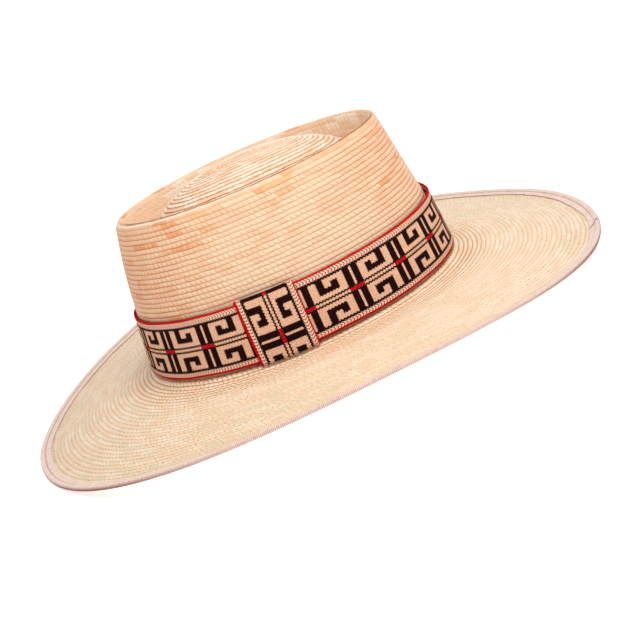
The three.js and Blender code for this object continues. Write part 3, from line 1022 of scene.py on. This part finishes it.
def woven_material(trim):
    """Warp-faced weave of cotton: black hooks and lines on cream, red outer warps.

    The yarns are matt and about half a millimetre thick, so every edge of the pattern is stepped
    by one yarn. The UV map holds the place in separators along the strip and the distance in mm
    from its centre line.
    """
    material, add = new_material("warp-faced cotton weave", 0.95, 0.05)
    cells = add("SeparateXYZ", add("UVMap", uv_map="UVMap"))
    across = cells.node.outputs[1]
    along = add("MULTIPLY", cells, PERIOD)
    away = add("ABSOLUTE", across)

    # Yarn steps: one tooth each two picks along the strip, and one each warp across it.
    pick = add("SUBTRACT", add("PINGPONG", along, PICK), PICK / 2)
    warp = add("SUBTRACT", add("PINGPONG", away, WARP), WARP / 2)
    toothed = add("MULTIPLY_ADD", pick, 0.8, away)

    # Separators, and the hook between two of them, which is turned round in every other cell.
    near = add("FRACT", add("ADD", cells, 0.5))
    near = add("MULTIPLY", add("ABSOLUTE", add("SUBTRACT", near, 0.5)), PERIOD)
    near = add("MULTIPLY_ADD", warp, 0.8, near)
    black = add("COMPARE", near, (SEPARATOR_HALF + SEPARATOR_CREAM) / 2,
                (SEPARATOR_HALF - SEPARATOR_CREAM + SPREAD) / 2)
    inside = add("MULTIPLY_ADD", add("FRACT", cells), PERIOD, -SEPARATOR_HALF)
    odd = add("FLOORED_MODULO", add("FLOOR", cells), 2.0)
    inside = add("Mix", odd, sockets={2: inside, 3: add("SUBTRACT", CELL, inside)},
                 data_type="FLOAT")
    inside = add("MULTIPLY_ADD", warp, 1.2, inside)
    up = add("MULTIPLY_ADD", pick, 0.75, add("SUBTRACT", away, FRET_START))
    for middle, half, height, half_height in HOOK_BARS:
        wide = add("COMPARE", inside, middle, half + SPREAD)
        high = add("COMPARE", up, height, half_height + SPREAD)
        black = add("MAXIMUM", black, add("MULTIPLY", wide, high))
    black = add("MULTIPLY", black, add("GREATER_THAN", toothed, FRET_START))

    # Zigzag beside the centre strip, the line under the cream stripe, and the red yarns.
    black = add("MAXIMUM", black, add("COMPARE", toothed, ZIGZAG, ZIGZAG_HALF + SPREAD))
    stripe = add("GREATER_THAN", toothed, STRIPE_START)
    black = add("MULTIPLY", black, add("SUBTRACT", 1.0, stripe))
    line = add("COMPARE", toothed, (LINE_START + STRIPE_START) / 2, (STRIPE_START - LINE_START) / 2)
    black = add("MAXIMUM", black, line)
    red = add("MULTIPLY", add("LESS_THAN", away, CENTRE_HALF),
              add("LESS_THAN", near, SEPARATOR_HALF))
    shifted = add("ABSOLUTE", add("SUBTRACT", across, EDGE_SHIFT))
    red = add("MAXIMUM", red, add("GREATER_THAN", shifted, EDGE_START))

    # The cream stripe is a chain of links: two rows of yarns that lean towards each other, one
    # link each two picks, with red showing between them.
    side = add("ABSOLUTE", add("SUBTRACT", away, (STRIPE_START + EDGE_START) / 2))
    twill = add("PINGPONG", add("MULTIPLY_ADD", side, 0.9, along), PICK)
    twill = add("MAXIMUM", add("MapRange", twill, 0.28, 0.42, 1.0, 0.0),
                add("MapRange", side, 0.05, 0.25, 0.3, 0.0))
    twill = add("MULTIPLY", twill, stripe)

    grain = add("TexNoise", add("CombineXYZ", along, across), sockets={"Scale": 1.4, "Detail": 3.0})
    cream = add("ValToRGB", grain, stops=[
        (0.35, linear("CC9070")), (0.5, trim.woven_cream), (0.65, linear("F0CCB0"))])
    dark = add("ValToRGB", grain, stops=[
        (0.4, trim.woven_black), (0.6, linear("220A0A")), (0.7, linear("56201F"))])
    scarlet = add("ValToRGB", grain, stops=[
        (0.35, linear("9C0810")), (0.6, trim.woven_red), (0.7, linear("D42030"))])
    diagonal = add("PINGPONG", add("MULTIPLY_ADD", across, 0.8, along), 0.35)
    diagonal = add("MapRange", diagonal, 0.0, 0.18, 0.5, 0.0)
    colour = cream
    for share, over in ((diagonal, linear("C98A68")), (stripe, linear("F0CDB0")), (black, dark),
                        (twill, linear("8A241E")), (red, scarlet)):
        colour = add("Mix", share, sockets={FIRST: colour, SECOND: over}, **MIXED)
    height = add("MULTIPLY_ADD", grain, 0.5, add("ADD", pick, warp))
    return feed_shader(material, colour, height, 0.5, 0.4)


def tape_material(trim, fold, seam):
    """Grosgrain: cotton tape with round ribs across it, matt, with painted shade between the ribs.

    The UV map holds the distance along the tape in ribs and the place across it in mm, from the
    cut edge on top of the brim. The ribs open up round the fold, at the place fold, where the
    painted shade between them deepens. Below the fold the tape has painted shade, most of all at
    the tips of the brim, and along the cut edge it is darker. At the place seam a thin line in the
    thread's colour is painted, for the seam and the shade of the groove that the thread draws in,
    except on the wearer's left.
    """
    material, add = new_material("cotton grosgrain", 0.85, 0.2, 0.15)
    ribs = add("SeparateXYZ", add("UVMap", uv_map="UVMap"))
    across = ribs.node.outputs[1]
    side = add("SeparateXYZ", add("TexCoord", out=OBJECT_OUT))
    # Painted shade in the valleys between the ribs, deeper round the fold, mixed with the yarns' own
    # uneven tone.
    valley = add("MULTIPLY", add("MapRange", add("PINGPONG", ribs, 0.5), 0.0, 0.35, 0.9, 0.0),
                 add("MapRange", across, fold - 2.2, fold - 0.6, 0.4, 2.2))
    fuzz = add("TexNoise", add("CombineXYZ", ribs, across), sockets={"Scale": 1.1, "Detail": 4.0})
    own = add("TexWhiteNoise", sockets={"W": add("FLOOR", ribs)}, noise_dimensions="1D")
    shade = add("MULTIPLY_ADD", own, 0.25, add("MULTIPLY_ADD", fuzz, 0.7, valley))
    shade = add("SUBTRACT", shade, 0.35, use_clamp=True)
    # Painted line in the thread's colour along the seam: the thread itself and the shade of the groove
    # it draws in.
    groove = add("ABSOLUTE", add("SUBTRACT", across, seam))
    groove = add("MULTIPLY", add("MapRange", groove, 0.15, 0.55, 0.6, 0.0),
                 add("MapRange", side, 0.04, 0.12, 1.0, 0.0))
    # Painted shade below the fold, most of all at the tips of the brim; the cut edge is darker too.
    tips = add("ABSOLUTE", side.node.outputs[1])
    below = add("MULTIPLY", add("MapRange", across, fold - 1.3, fold + 0.1, 0.0, 0.95),
                add("MapRange", tips, 0.08, 0.16, 0.12, 1.0))
    cut_dark_and_painted_shade = add("MAXIMUM", add("MapRange", across, 0.4, 0.6, 0.55, 0.0), below)
    colour = trim.tape
    for share, over in ((shade, trim.tape_shade), (groove, trim.thread), (cut_dark_and_painted_shade, trim.tape_dark)):
        colour = add("Mix", share, sockets={FIRST: colour, SECOND: over}, **MIXED)
    return feed_shader(material, colour, fuzz, 0.35, 0.3)


def thread_material(trim):
    """Sewing cotton: twisted, matt, with a slight change of shade from stitch to stitch."""
    material, add = new_material("sewing cotton", 0.8, 0.2, 0.1)
    change = add("TexNoise", add("TexCoord", out=OBJECT_OUT), sockets={"Scale": 400.0,
                                                                       "Detail": 2.0})
    return feed_shader(material, add("ValToRGB", change, stops=[
        (0.3, linear("A87456")), (0.6, trim.thread)]))


def add_braided_shell(name, skin, total, pitch, straw, start_row, folded, rim, seed, shape,
                      material):
    """Closed shell of braid over a smooth skin, with a plain skin WALL below it inside.

    skin gives points at distances from the inner end of the rows, total is the whole distance and
    rim the thickness at the far end. folded says that the skin starts in a doubled line, and shape
    gives the share of the relief that each row takes.
    """
    rows = int(round(total / pitch))
    number, place, _ = row_stations(rows)
    relief = straw.relief / MM
    rise = relief * shape(number)[:, None]
    outer = braid(skin((number + place) * total / rows), rows, rise, pitch, seed)
    lengths = row_lengths(outer)
    outer_uv = braid_uv(lengths, straw.strand / MM, start_row)

    back = np.linspace(total, 0.0, 2 * rows)
    base = skin(back)
    normal, _ = grid_frame(base)
    if folded:
        normal[-1] = (0.0, 0.0, -1.0)
    depth = np.interp(total - back, RIM_TAPER, (rim, WALL - relief / 2))
    depth[1:-1:2] += relief / 2
    inner = base + normal * depth[:, None, None]
    row_of = np.minimum((back / total * rows).astype(int), rows - 1)
    inner_pairs = plain_uv(lengths[row_of], (start_row + back / total * rows)[:, None])
    return shell(name, lean(outer), outer_uv, lean(inner), inner_pairs, folded, material)


def finish_piece(piece, slot, *nodes):
    """Puts a finished piece on the hat's body in place of its solids. slot is not used."""
    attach(piece, BODY)
    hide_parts(*nodes)


def build_crown_wall(straw):
    """Walls and crest of the crown, in rows counted down from the seam inside the crest."""
    angles = once_round(CROWN_COLUMNS)
    total = wall_profile(np.zeros(1))[1]

    def skin(at):
        return crown_ovals(wall_profile(at)[0], angles)

    def wall_shape(row):
        return np.where(row < CREST_ROWS, CREST_RELIEF, WALL_RELIEF)

    piece = add_braided_shell(
        "crown_wall", skin, total, straw.crown_row / MM, straw, WALL_FIRST_ROW, False, WALL,
        WALL_SEED, wall_shape, wall_material(straw),
    )
    finish_piece(piece, "crown_straw", "crown")


def build_crown_top(straw):
    """Dome and groove, in rows counted outwards from the dome's middle line."""
    angles = once_round(CROWN_COLUMNS)
    _, places, foot = dome_table()
    dome_rows = int(foot / (straw.dome_row / MM))

    def skin(at):
        return dome_points(at, angles)

    def shape(row):
        return np.where(row < dome_rows, DOME_RELIEF, GROOVE_RELIEF)

    piece = add_braided_shell(
        "crown_dome", skin, places[-1], straw.dome_row / MM, straw, 0, True, TOP_RIM,
        TOP_SEED, shape, top_material(straw, dome_rows),
    )
    finish_piece(piece, "crown_straw", "crown_top")


def foot_lift(out):
    """How far the brim's braid climbs at the foot of the wall: nought under the wall itself, and
    FOOT_RISE (1 - t)^2 outside it, with t the share of FOOT_REACH."""
    share = np.clip((out - WALL) / FOOT_REACH, 0, 1)
    return np.where(out > WALL, FOOT_RISE * (1 - share) ** 2, 0.0)


def build_brim(straw):
    """Brim of braid, its rows counted out from the head opening, with a plain underside."""
    angles = once_round(BRIM_COLUMNS)
    rows = int(round(BRIM_REACH / (straw.brim_row / MM)))
    relief = straw.relief / MM
    number, place, _ = row_stations(rows)
    share = ((number + place) / rows)[:, None]
    smooth = brim_points(share, BRIM_THICKNESS - BRIM_SINK + foot_lift(share * BRIM_REACH), angles)
    outer = braid(smooth, rows, relief * BRIM_RELIEF, straw.brim_row / MM, BRIM_SEED)
    lengths = row_lengths(outer)
    outer_uv = braid_uv(lengths, straw.strand / MM, 0)
    back = np.linspace(1.0, 0.0, 2 * rows)[:, None]
    ripple = np.where(np.arange(2 * rows) % 2 == 0, 0.0, relief / 2)[:, None]
    under = brim_points(back, ripple, angles)
    row_of = np.minimum((back[:, 0] * rows).astype(int), rows - 1)
    pairs = plain_uv(lengths[row_of], back * rows)
    piece = shell("brim_braid", outer, outer_uv, under, pairs, False, brim_material(straw))
    finish_piece(piece, "brim_straw", "brim")


def strip_relief(away):
    """Relief of the woven strip by the distance from its centre line, as a sum of bell curves: a
    low ridge beside the centre line, a groove and a round selvage cord at each edge."""
    return sum(height * np.exp(-(((away - place) / reach) ** 2))
               for height, place, reach in STRIP_RIDGES)


def build_band(trim):
    """Band: a closed section of woven strip carried once round the crown.

    The section's outer face has the strip's relief, its edges are half circles and its inner face
    is flat. Seeded waves of a quarter of a millimetre keep it from lying dead even.
    """
    angles = once_round(BAND_COLUMNS)
    half = BAND_THICKNESS / 2
    face = np.linspace(half, BAND_WIDTH - half, FACE_SAMPLES)
    back = np.linspace(BAND_WIDTH - half, half, BAND_BACK_SAMPLES)
    turn = np.linspace(0, np.pi, TURN_SAMPLES)[1:-1]
    height = np.concatenate([
        face, BAND_WIDTH - half + half * np.sin(turn), back, half - half * np.sin(turn),
    ])
    out = np.concatenate([
        strip_relief(np.abs(face - BAND_WIDTH / 2)), half * np.cos(turn) - half,
        np.full(len(back), -BAND_THICKNESS), -half - half * np.cos(turn),
    ])
    points = band_points(height, out, angles)
    low_wave, high_wave = waves(angles, 2, *BAND_WAVES)
    share = (height / BAND_WIDTH)[:, None]
    points[..., 2] += low_wave * (1 - share) + high_wave * share
    lengths = round_lengths(band_points(np.array([BAND_WIDTH / 2]), np.zeros(1), angles))
    lengths *= BAND_LENGTH / lengths[:, -1:]
    cells = band_cells(lengths)
    low, high = cells[:, :-1], cells[:, 1:]
    step = np.diff(lengths, axis=1) / PERIOD
    high = np.where(np.abs(high - low) > 1, low + step, high)
    pairs = strip_uv(low, high, (height - BAND_WIDTH / 2)[:, None])
    piece = add_rings("woven_band", lean(points), pairs, woven_material(trim))
    finish_piece(piece, "woven_band", "hat_band")


def sleeve_section(clear, past):
    """Heights and places outwards of a loop round the band's section: a rectangle with round
    corners, clear of the band's faces by one distance and past its edges by another."""
    deep = BAND_THICKNESS / 2 + clear
    tall = BAND_WIDTH / 2 + past
    radius = min(deep, tall) * SLEEVE_ROUND
    corner = np.linspace(0, np.pi / 2, TURN_SAMPLES)
    sine, cosine = radius * np.sin(corner), radius * np.cos(corner)
    straight, inset = tall - radius, deep - radius
    side = np.linspace(-1, 1, SLEEVE_SAMPLES)[1:-1]
    up = np.concatenate([side * straight, straight + sine, straight + cosine, -side * straight,
                         -straight - sine, -straight - cosine])
    level = np.full(len(side), deep)
    outward = np.concatenate([level, inset + cosine, -inset - sine, -level, -inset - cosine,
                              inset + sine])
    return BAND_WIDTH / 2 + up, outward - BAND_THICKNESS / 2


def build_keeper(trim):
    """Keeper: a sleeve of the same strip round the band, turned upright.

    Its section across the strip is a closed line, the outer face with the strip's relief, half
    circles at both edges and the flat inner face, and each of its points is carried round the
    band along a loop that is as far from the band's faces.
    """
    half = KEEPER_THICKNESS / 2
    edge = KEEPER_WIDTH / 2 - half
    face = np.linspace(-edge, edge, FACE_SAMPLES)
    back = np.linspace(edge, -edge, KEEPER_BACK_SAMPLES)
    turn = np.linspace(0, np.pi, TURN_SAMPLES)[1:-1]
    across = np.concatenate([face, edge + half * np.sin(turn), back, -edge - half * np.sin(turn)])
    lift = np.concatenate([
        SEAT + KEEPER_THICKNESS + strip_relief(np.abs(face)),
        SEAT + half + half * np.cos(turn), np.full(len(back), SEAT),
        SEAT + half - half * np.cos(turn),
    ])
    sections = [sleeve_section(clear, KEEPER_OVERHANG - KEEPER_THICKNESS - SEAT + clear)
                for clear in lift]
    height, out = np.stack(sections, axis=1)
    y = np.broadcast_to((KEEPER_PLACE + across)[:, None], height.shape)
    points = left_face(y, height, out)
    down = (KEEPER_FIRST - height) / KEEPER_PERIOD
    pairs = strip_uv(down, np.roll(down, -1, axis=1), across[:, None])
    piece = add_rings("woven_keeper", lean(points), pairs, woven_material(trim))
    finish_piece(piece, "woven_band", "band_keeper")


def tape_section():
    """Closed section of the binding: up the top's inner edge, over its outer skin and round the
    fold to the underside's inner edge, then the inner skin back.

    Each point is its place outwards from the straw's edge, its lift above the straw's underside and
    how much of the ribs' relief it takes. The result has a row for each of the three.
    """
    under = BRIM_THICKNESS + SEAT
    top = under + TAPE_TOP_THICKNESS
    bottom = -TAPE_OUT
    inner = TAPE_OUT - TAPE_TOP_WIDTH
    low_inner = TAPE_OUT - TAPE_WIDTH
    middle = (top + bottom) / 2
    half_height = (top - bottom) / 2
    depth = half_height * FOLD_DEPTH
    fold = TAPE_OUT - depth
    turn = np.linspace(0, np.pi, FOLD_POINTS)
    points = [(inner, under - 0.3, 0.0), (inner, top - 0.12, 0.3), (inner + 0.1, top - 0.03, 0.8)]
    points += [(out, top, 1.0)
               for out in np.linspace(inner + FLAT_FROM_EDGE, fold - FLAT_FROM_FOLD, 5)]
    points += [(fold + depth * sine, middle + half_height * cosine, 1.0)
               for sine, cosine in zip(np.sin(turn), np.cos(turn))]
    points += [(out, bottom, 0.0)
               for out in np.linspace(fold - FLAT_FROM_FOLD, low_inner + FLAT_FROM_EDGE, 3)]
    points += [(low_inner + 0.12, bottom + 0.08, 0.0), (low_inner, bottom + 0.3, 0.0),
               (low_inner, -SEAT, 0.0), (SEAT, -SEAT, 0.0), (SEAT, under, 0.0)]
    return np.array(points).T


def build_binding(trim):
    """Binding: the tape's closed section carried once round the brim's edge.

    One column in RIB_COLUMNS is a valley. Seeded waves pucker the top and its inner edge, the
    underside is thinner at the sides, and no point goes below the floor.
    """
    angles = once_round(TAPE_COLUMNS)
    outs, lifts, ribs = tape_section()
    rib = np.where(np.arange(TAPE_COLUMNS) % RIB_COLUMNS == 0, -0.5, 0.5) * RIB_RELIEF
    pucker = waves(angles, 1, *TAPE_PUCKER)[0]
    edge = waves(angles, 1, *TAPE_WANDER)[0]
    inward = np.clip(-outs / (TAPE_WIDTH - TAPE_OUT), 0, 1)[:, None]
    on_top = (lifts > BRIM_THICKNESS / 2)[:, None] * ribs[:, None]
    narrow = np.where(lifts > 0, 1.0, 0.0)[:, None] * inward * tape_narrow(angles)[None, :]
    out = outs[:, None] - inward * edge[None, :] + narrow
    thin = 1 - UNDER_THIN * (lifts < -SEAT)[:, None] * np.cos(angles)[None, :] ** 2
    lift = lifts[:, None] * thin + on_top * (rib + pucker * inward)
    out = out + np.clip(outs, 0, 1)[:, None] * ribs[:, None] * rib[None, :]
    points = brim_points(1 + out / BRIM_REACH, lift, angles)
    points[..., 2] = np.maximum(points[..., 2], 0.0)
    low = np.arange(TAPE_COLUMNS)[None, :] / RIB_COLUMNS
    across = arc_places(outs, lifts)
    material = tape_material(trim, across[np.argmax(outs)], STITCH_OUT - outs[0])
    pairs = strip_uv(low, low + 1 / RIB_COLUMNS, across[:, None])
    piece = add_rings("binding_tape", points, pairs, material)
    finish_piece(piece, "edge_tape", "brim_binding")
    details = [build_stitches(trim), build_tape_end(material)]


def tape_narrow(angles):
    """How much narrower the tape is on top, growing from nought at the tips to the left side."""
    return TAPE_TOP_NARROW * np.clip((np.cos(angles) - NARROW_START) / NARROW_GROWTH, 0, 1)


def build_tape_end(material):
    """Cut end of the tape at the back: a thin layer of it on top of the tape's start.

    Its section is a lens that follows the tape's outer skin from the inner edge over the fold, and
    the lens closes to a line at both ends. The first station is the cut, and the last one lies
    under the tape's skin.
    """
    outs, lifts, _ = tape_section()
    outer = slice(1, np.argmax(outs) + 1)
    skin = arc_places(outs, lifts)[outer]
    turn = once_round(END_POINTS)
    share = (1 - np.sin(turn)) / 2
    place = skin[0] + share * (skin[-1] - skin[0])
    out = np.interp(place, skin, outs[outer])
    lift = np.interp(place, skin, lifts[outer])
    along = np.array(END_STATIONS)[:, None]
    start = np.radians(np.interp(share, END_PLACES, END_ANGLES))
    angles = start + along / BRIM_EDGE[0, BACK]
    raised = np.interp(along, (0.0, 1.0, END_LENGTH), END_RAISE) * END_LIFT
    layer = raised * (0.56 + 0.44 * np.cos(turn))
    over = np.clip((share - END_TURN) / (1 - END_TURN), 0, 1)
    inward = np.clip(-out / (TAPE_WIDTH - TAPE_OUT), 0, 1)
    far_out = out + inward * tape_narrow(angles) + layer * over
    far_lift = lift + layer * (1 - over)
    points = np.concatenate([
        brim_points(1 + far_out[k:k + 1] / BRIM_REACH, far_lift[k:k + 1], angles[k])
        for k in range(len(along))
    ])
    plain = ring_faces(len(along), END_POINTS, False)
    faces = fold_segment(plain, 0, END_POINTS)
    faces = fold_segment(faces, (len(along) - 1) * END_POINTS, END_POINTS)
    ribs = angles / (2 * np.pi) * TAPE_COLUMNS / RIB_COLUMNS
    # The first END_DARK mm take a place past the fold, where the tape's material paints its underside
    # shade.
    across = np.where(along < END_DARK, TAPE_FLAT, place)
    uv = np.stack([ribs, across], axis=-1).reshape(-1, 2)[plain]
    piece = add_mesh("binding_end", points, faces, uv, material)
    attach(piece, BODY)
    return piece


def add_tubes(name, path, side, up, width, height, material):
    """Many short closed tubes of six sides, from paths of points and two directions at each.

    path, side and up have a row for each tube and a column for each of its rings, and width and
    height give the half sizes of each ring. Two quads close each end.
    """
    tubes, rings = path.shape[:2]
    turn = once_round(TUBE_SIDES)
    spread = side[:, :, None] * (np.cos(turn)[:, None] * width[:, None, None])
    rise = up[:, :, None] * (np.sin(turn)[:, None] * height[:, None, None])
    points = (path[:, :, None] + spread + rise).reshape(-1, 3)
    body = ring_faces(rings, TUBE_SIDES, False)
    ends = np.array([(3, 2, 1, 0), (5, 4, 3, 0)])
    caps = np.concatenate([ends, ends[:, ::-1] + (rings - 1) * TUBE_SIDES])
    one = np.concatenate([body, caps])
    faces = (np.arange(tubes)[:, None, None] * rings * TUBE_SIDES + one).reshape(-1, 4)
    uv = np.zeros((len(faces), 4, 2))
    return add_mesh(name, points, faces, uv, material)


def build_stitches(trim):
    """Stitches of the binding: short threads along its top face that dip in at both ends."""
    angles = once_round(STITCH_SAMPLES)
    out = np.full((1, 1), STITCH_OUT)
    top = BRIM_THICKNESS + SEAT + TAPE_TOP_THICKNESS
    line = brim_points(1 + out / BRIM_REACH, np.full((1, 1), top), angles)[0]
    lengths = round_lengths(line[None])[0]
    step = trim.stitch_step / MM
    count = int(lengths[-1] / step)
    rng = np.random.default_rng(STITCH_SEED)
    jitter = rng.uniform(-STITCH_JITTER, STITCH_JITTER, count)
    start = (np.arange(count) + jitter) / count * lengths[-1]
    place, height, width = STITCH_RINGS.T
    along = start[:, None] + place * step * STITCH_SHARE
    closed = np.concatenate([line, line[:1]])
    path = np.stack([np.interp(along % lengths[-1], lengths, closed[:, k]) for k in range(3)], -1)
    path[..., 2] += height
    path[..., 2] -= STITCH_SINK * np.clip(path[..., :1, 0] / BRIM_EDGE[0, SIDE] - 0.2, 0, 0.5)
    onward = np.gradient(path, axis=1)
    onward /= np.linalg.norm(onward, axis=-1, keepdims=True)
    up = np.broadcast_to((0.0, 0.0, 1.0), path.shape)
    side = np.cross(up, onward)
    piece = add_tubes("binding_stitches", path, side, up, width, width * STITCH_FLAT,
                      thread_material(trim))
    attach(piece, BODY)
    return piece


def camera_matrix(stage):
    """Place and turn of the camera, from its azimuth, elevation and roll round the point aimed at.

    back = (sin az cos el, -cos az cos el, sin el) and right = (cos az, sin az, 0) are turned by
    the roll about back.
    """
    azimuth, elevation, roll = stage.azimuth, stage.elevation, stage.roll
    back = np.array([math.sin(azimuth) * math.cos(elevation),
                     -math.cos(azimuth) * math.cos(elevation), math.sin(elevation)])
    level = np.array([math.cos(azimuth), math.sin(azimuth), 0.0])
    upright = np.cross(back, level)
    right = level * math.cos(roll) - upright * math.sin(roll)
    up = level * math.sin(roll) + upright * math.cos(roll)
    matrix = np.eye(4)
    matrix[:3, :3] = np.stack([right, up, back], axis=1)
    matrix[:3, 3] = (np.array(AIM) + back * CAMERA_DISTANCE) * MM
    return Matrix(matrix.tolist())


def add_floor(stage):
    """Pale floor: level round the hat, then z = rim t^2 with t the share of the way to its edge."""
    radius = np.concatenate([[0.0], np.linspace(FLOOR_LEVEL, FLOOR_REACH, FLOOR_RINGS)])
    share = np.clip((radius - FLOOR_LEVEL) / (FLOOR_REACH - FLOOR_LEVEL), 0, 1)
    angles = once_round(FLOOR_COLUMNS)[:, None]
    across, along = radius * np.cos(angles), radius * np.sin(angles)
    height = np.broadcast_to(FLOOR_RIM * share ** 2, across.shape)
    points = np.stack([across, along, height], axis=-1).transpose(1, 0, 2)
    faces = ring_faces(len(radius), FLOOR_COLUMNS, False)
    material, _ = new_material("matt studio floor", 0.9, 0.3)
    inputs = shader_inputs(material)
    inputs["Base Color"].default_value = (*stage.floor, 1.0)
    inputs["Emission Color"].default_value = (1.0, 1.0, 1.0, 1.0)
    inputs["Emission Strength"].default_value = FLOOR_GLOW
    mesh = bpy.data.meshes.new("studio_floor")
    mesh.from_pydata(points.reshape(-1, 3).tolist(), [], faces.tolist())
    mesh.materials.append(material)
    floor = bpy.data.objects.new("studio_floor", mesh)
    bpy.context.scene.collection.objects.link(floor)


def add_key_light():
    """Soft box on the wearer's left, behind and above the hat, turned towards it."""
    light = bpy.data.lights.new("key_light", "AREA")
    light.size = KEY_SIZE
    light.energy = KEY_POWER
    holder = bpy.data.objects.new("key_light", light)
    holder.location = KEY_PLACE
    holder.rotation_euler = (-holder.location).to_track_quat("-Z", "Y").to_euler()
    bpy.context.scene.collection.objects.link(holder)


def build_stage(stage):
    """Floor, pale surroundings, the key light and the camera, with colours shown as they are."""
    add_floor(stage)
    world = bpy.data.worlds.new("pale_studio")
    world.use_nodes = True
    tree = world.node_tree
    background = tree.nodes["Background"]
    background.inputs["Color"].default_value = (1.0, 1.0, 1.0, 1.0)
    length = node(tree, "SeparateXYZ", node(tree, "TexCoord"), out=1)
    strength = node(tree, "MapRange", length, -1.0, 1.0, WORLD_FRONT, WORLD_BACK)
    tree.links.new(strength, background.inputs["Strength"])
    bpy.context.scene.world = world
    bpy.context.scene.view_settings.view_transform = "Standard"
    add_key_light()
    camera = bpy.data.cameras.new("photo_camera")
    camera.lens = FOCAL
    camera.sensor_width = 36.0
    holder = bpy.data.objects.new("photo_camera", camera)
    holder.matrix_world = camera_matrix(stage)
    bpy.context.scene.collection.objects.link(holder)
    bpy.context.scene.camera = holder


class HatOperator:
    """What the operators share: they may be undone, and they work on the scene's settings."""

    bl_options = {"REGISTER", "UNDO"}


class HAT_OT_crown_wall(HatOperator, bpy.types.Operator):
    """Build the braided walls and the crest of the crown"""

    bl_idname = "hat.crown_wall"
    bl_label = "Crown wall"

    def execute(self, context):
        build_crown_wall(context.scene.hat_straw)
        return {"FINISHED"}


class HAT_OT_crown_top(HatOperator, bpy.types.Operator):
    """Build the braided dome and the groove round it"""

    bl_idname = "hat.crown_top"
    bl_label = "Crown top"

    def execute(self, context):
        build_crown_top(context.scene.hat_straw)
        return {"FINISHED"}


class HAT_OT_brim(HatOperator, bpy.types.Operator):
    """Build the braided brim"""

    bl_idname = "hat.brim"
    bl_label = "Brim"

    def execute(self, context):
        build_brim(context.scene.hat_straw)
        return {"FINISHED"}


class HAT_OT_band(HatOperator, bpy.types.Operator):
    """Build the woven band and its keeper"""

    bl_idname = "hat.band"
    bl_label = "Band and keeper"

    def execute(self, context):
        build_band(context.scene.hat_trim)
        build_keeper(context.scene.hat_trim)
        return {"FINISHED"}


class HAT_OT_binding(HatOperator, bpy.types.Operator):
    """Build the taped edge of the brim and its stitches"""

    bl_idname = "hat.binding"
    bl_label = "Binding"

    def execute(self, context):
        build_binding(context.scene.hat_trim)
        return {"FINISHED"}


class HAT_OT_stage(HatOperator, bpy.types.Operator):
    """Build the floor, the lights and the camera"""

    bl_idname = "hat.stage"
    bl_label = "Stage"

    def execute(self, context):
        build_stage(context.scene.hat_stage)
        return {"FINISHED"}


class HAT_PT_build(bpy.types.Panel):
    """Lists the steps that build the hat, with its main sizes and colours"""

    bl_idname = "HAT_PT_build"
    bl_label = "Gambler hat"
    bl_space_type = "VIEW_3D"
    bl_region_type = "UI"
    bl_category = "Hat"

    def draw(self, context):
        for operator in OPERATORS:
            self.layout.operator(operator.bl_idname)
        for settings in (context.scene.hat_straw, context.scene.hat_trim, context.scene.hat_stage):
            for key in settings.bl_rna.properties.keys():
                if key not in ("rna_type", "name"):
                    self.layout.prop(settings, key)


OPERATORS = (HAT_OT_crown_wall, HAT_OT_crown_top, HAT_OT_brim, HAT_OT_band, HAT_OT_binding,
             HAT_OT_stage)
SETTINGS = {"hat_straw": HatStraw, "hat_trim": HatTrim, "hat_stage": HatStage}


def register():
    for settings in SETTINGS.values():
        bpy.utils.register_class(settings)
    for name, settings in SETTINGS.items():
        setattr(bpy.types.Scene, name, bpy.props.PointerProperty(type=settings))
    for shown in (*OPERATORS, HAT_PT_build):
        bpy.utils.register_class(shown)


def unregister():
    for shown in (HAT_PT_build, *reversed(OPERATORS)):
        bpy.utils.unregister_class(shown)
    for name in SETTINGS:
        delattr(bpy.types.Scene, name)
    for settings in SETTINGS.values():
        bpy.utils.unregister_class(settings)


def main():
    """Builds the hat and the stage through the operators."""
    register()
    bpy.ops.hat.crown_wall()
    bpy.ops.hat.crown_top()
    bpy.ops.hat.brim()
    bpy.ops.hat.band()
    bpy.ops.hat.binding()
    bpy.ops.hat.stage()


if __name__ == "__main__":
    main()
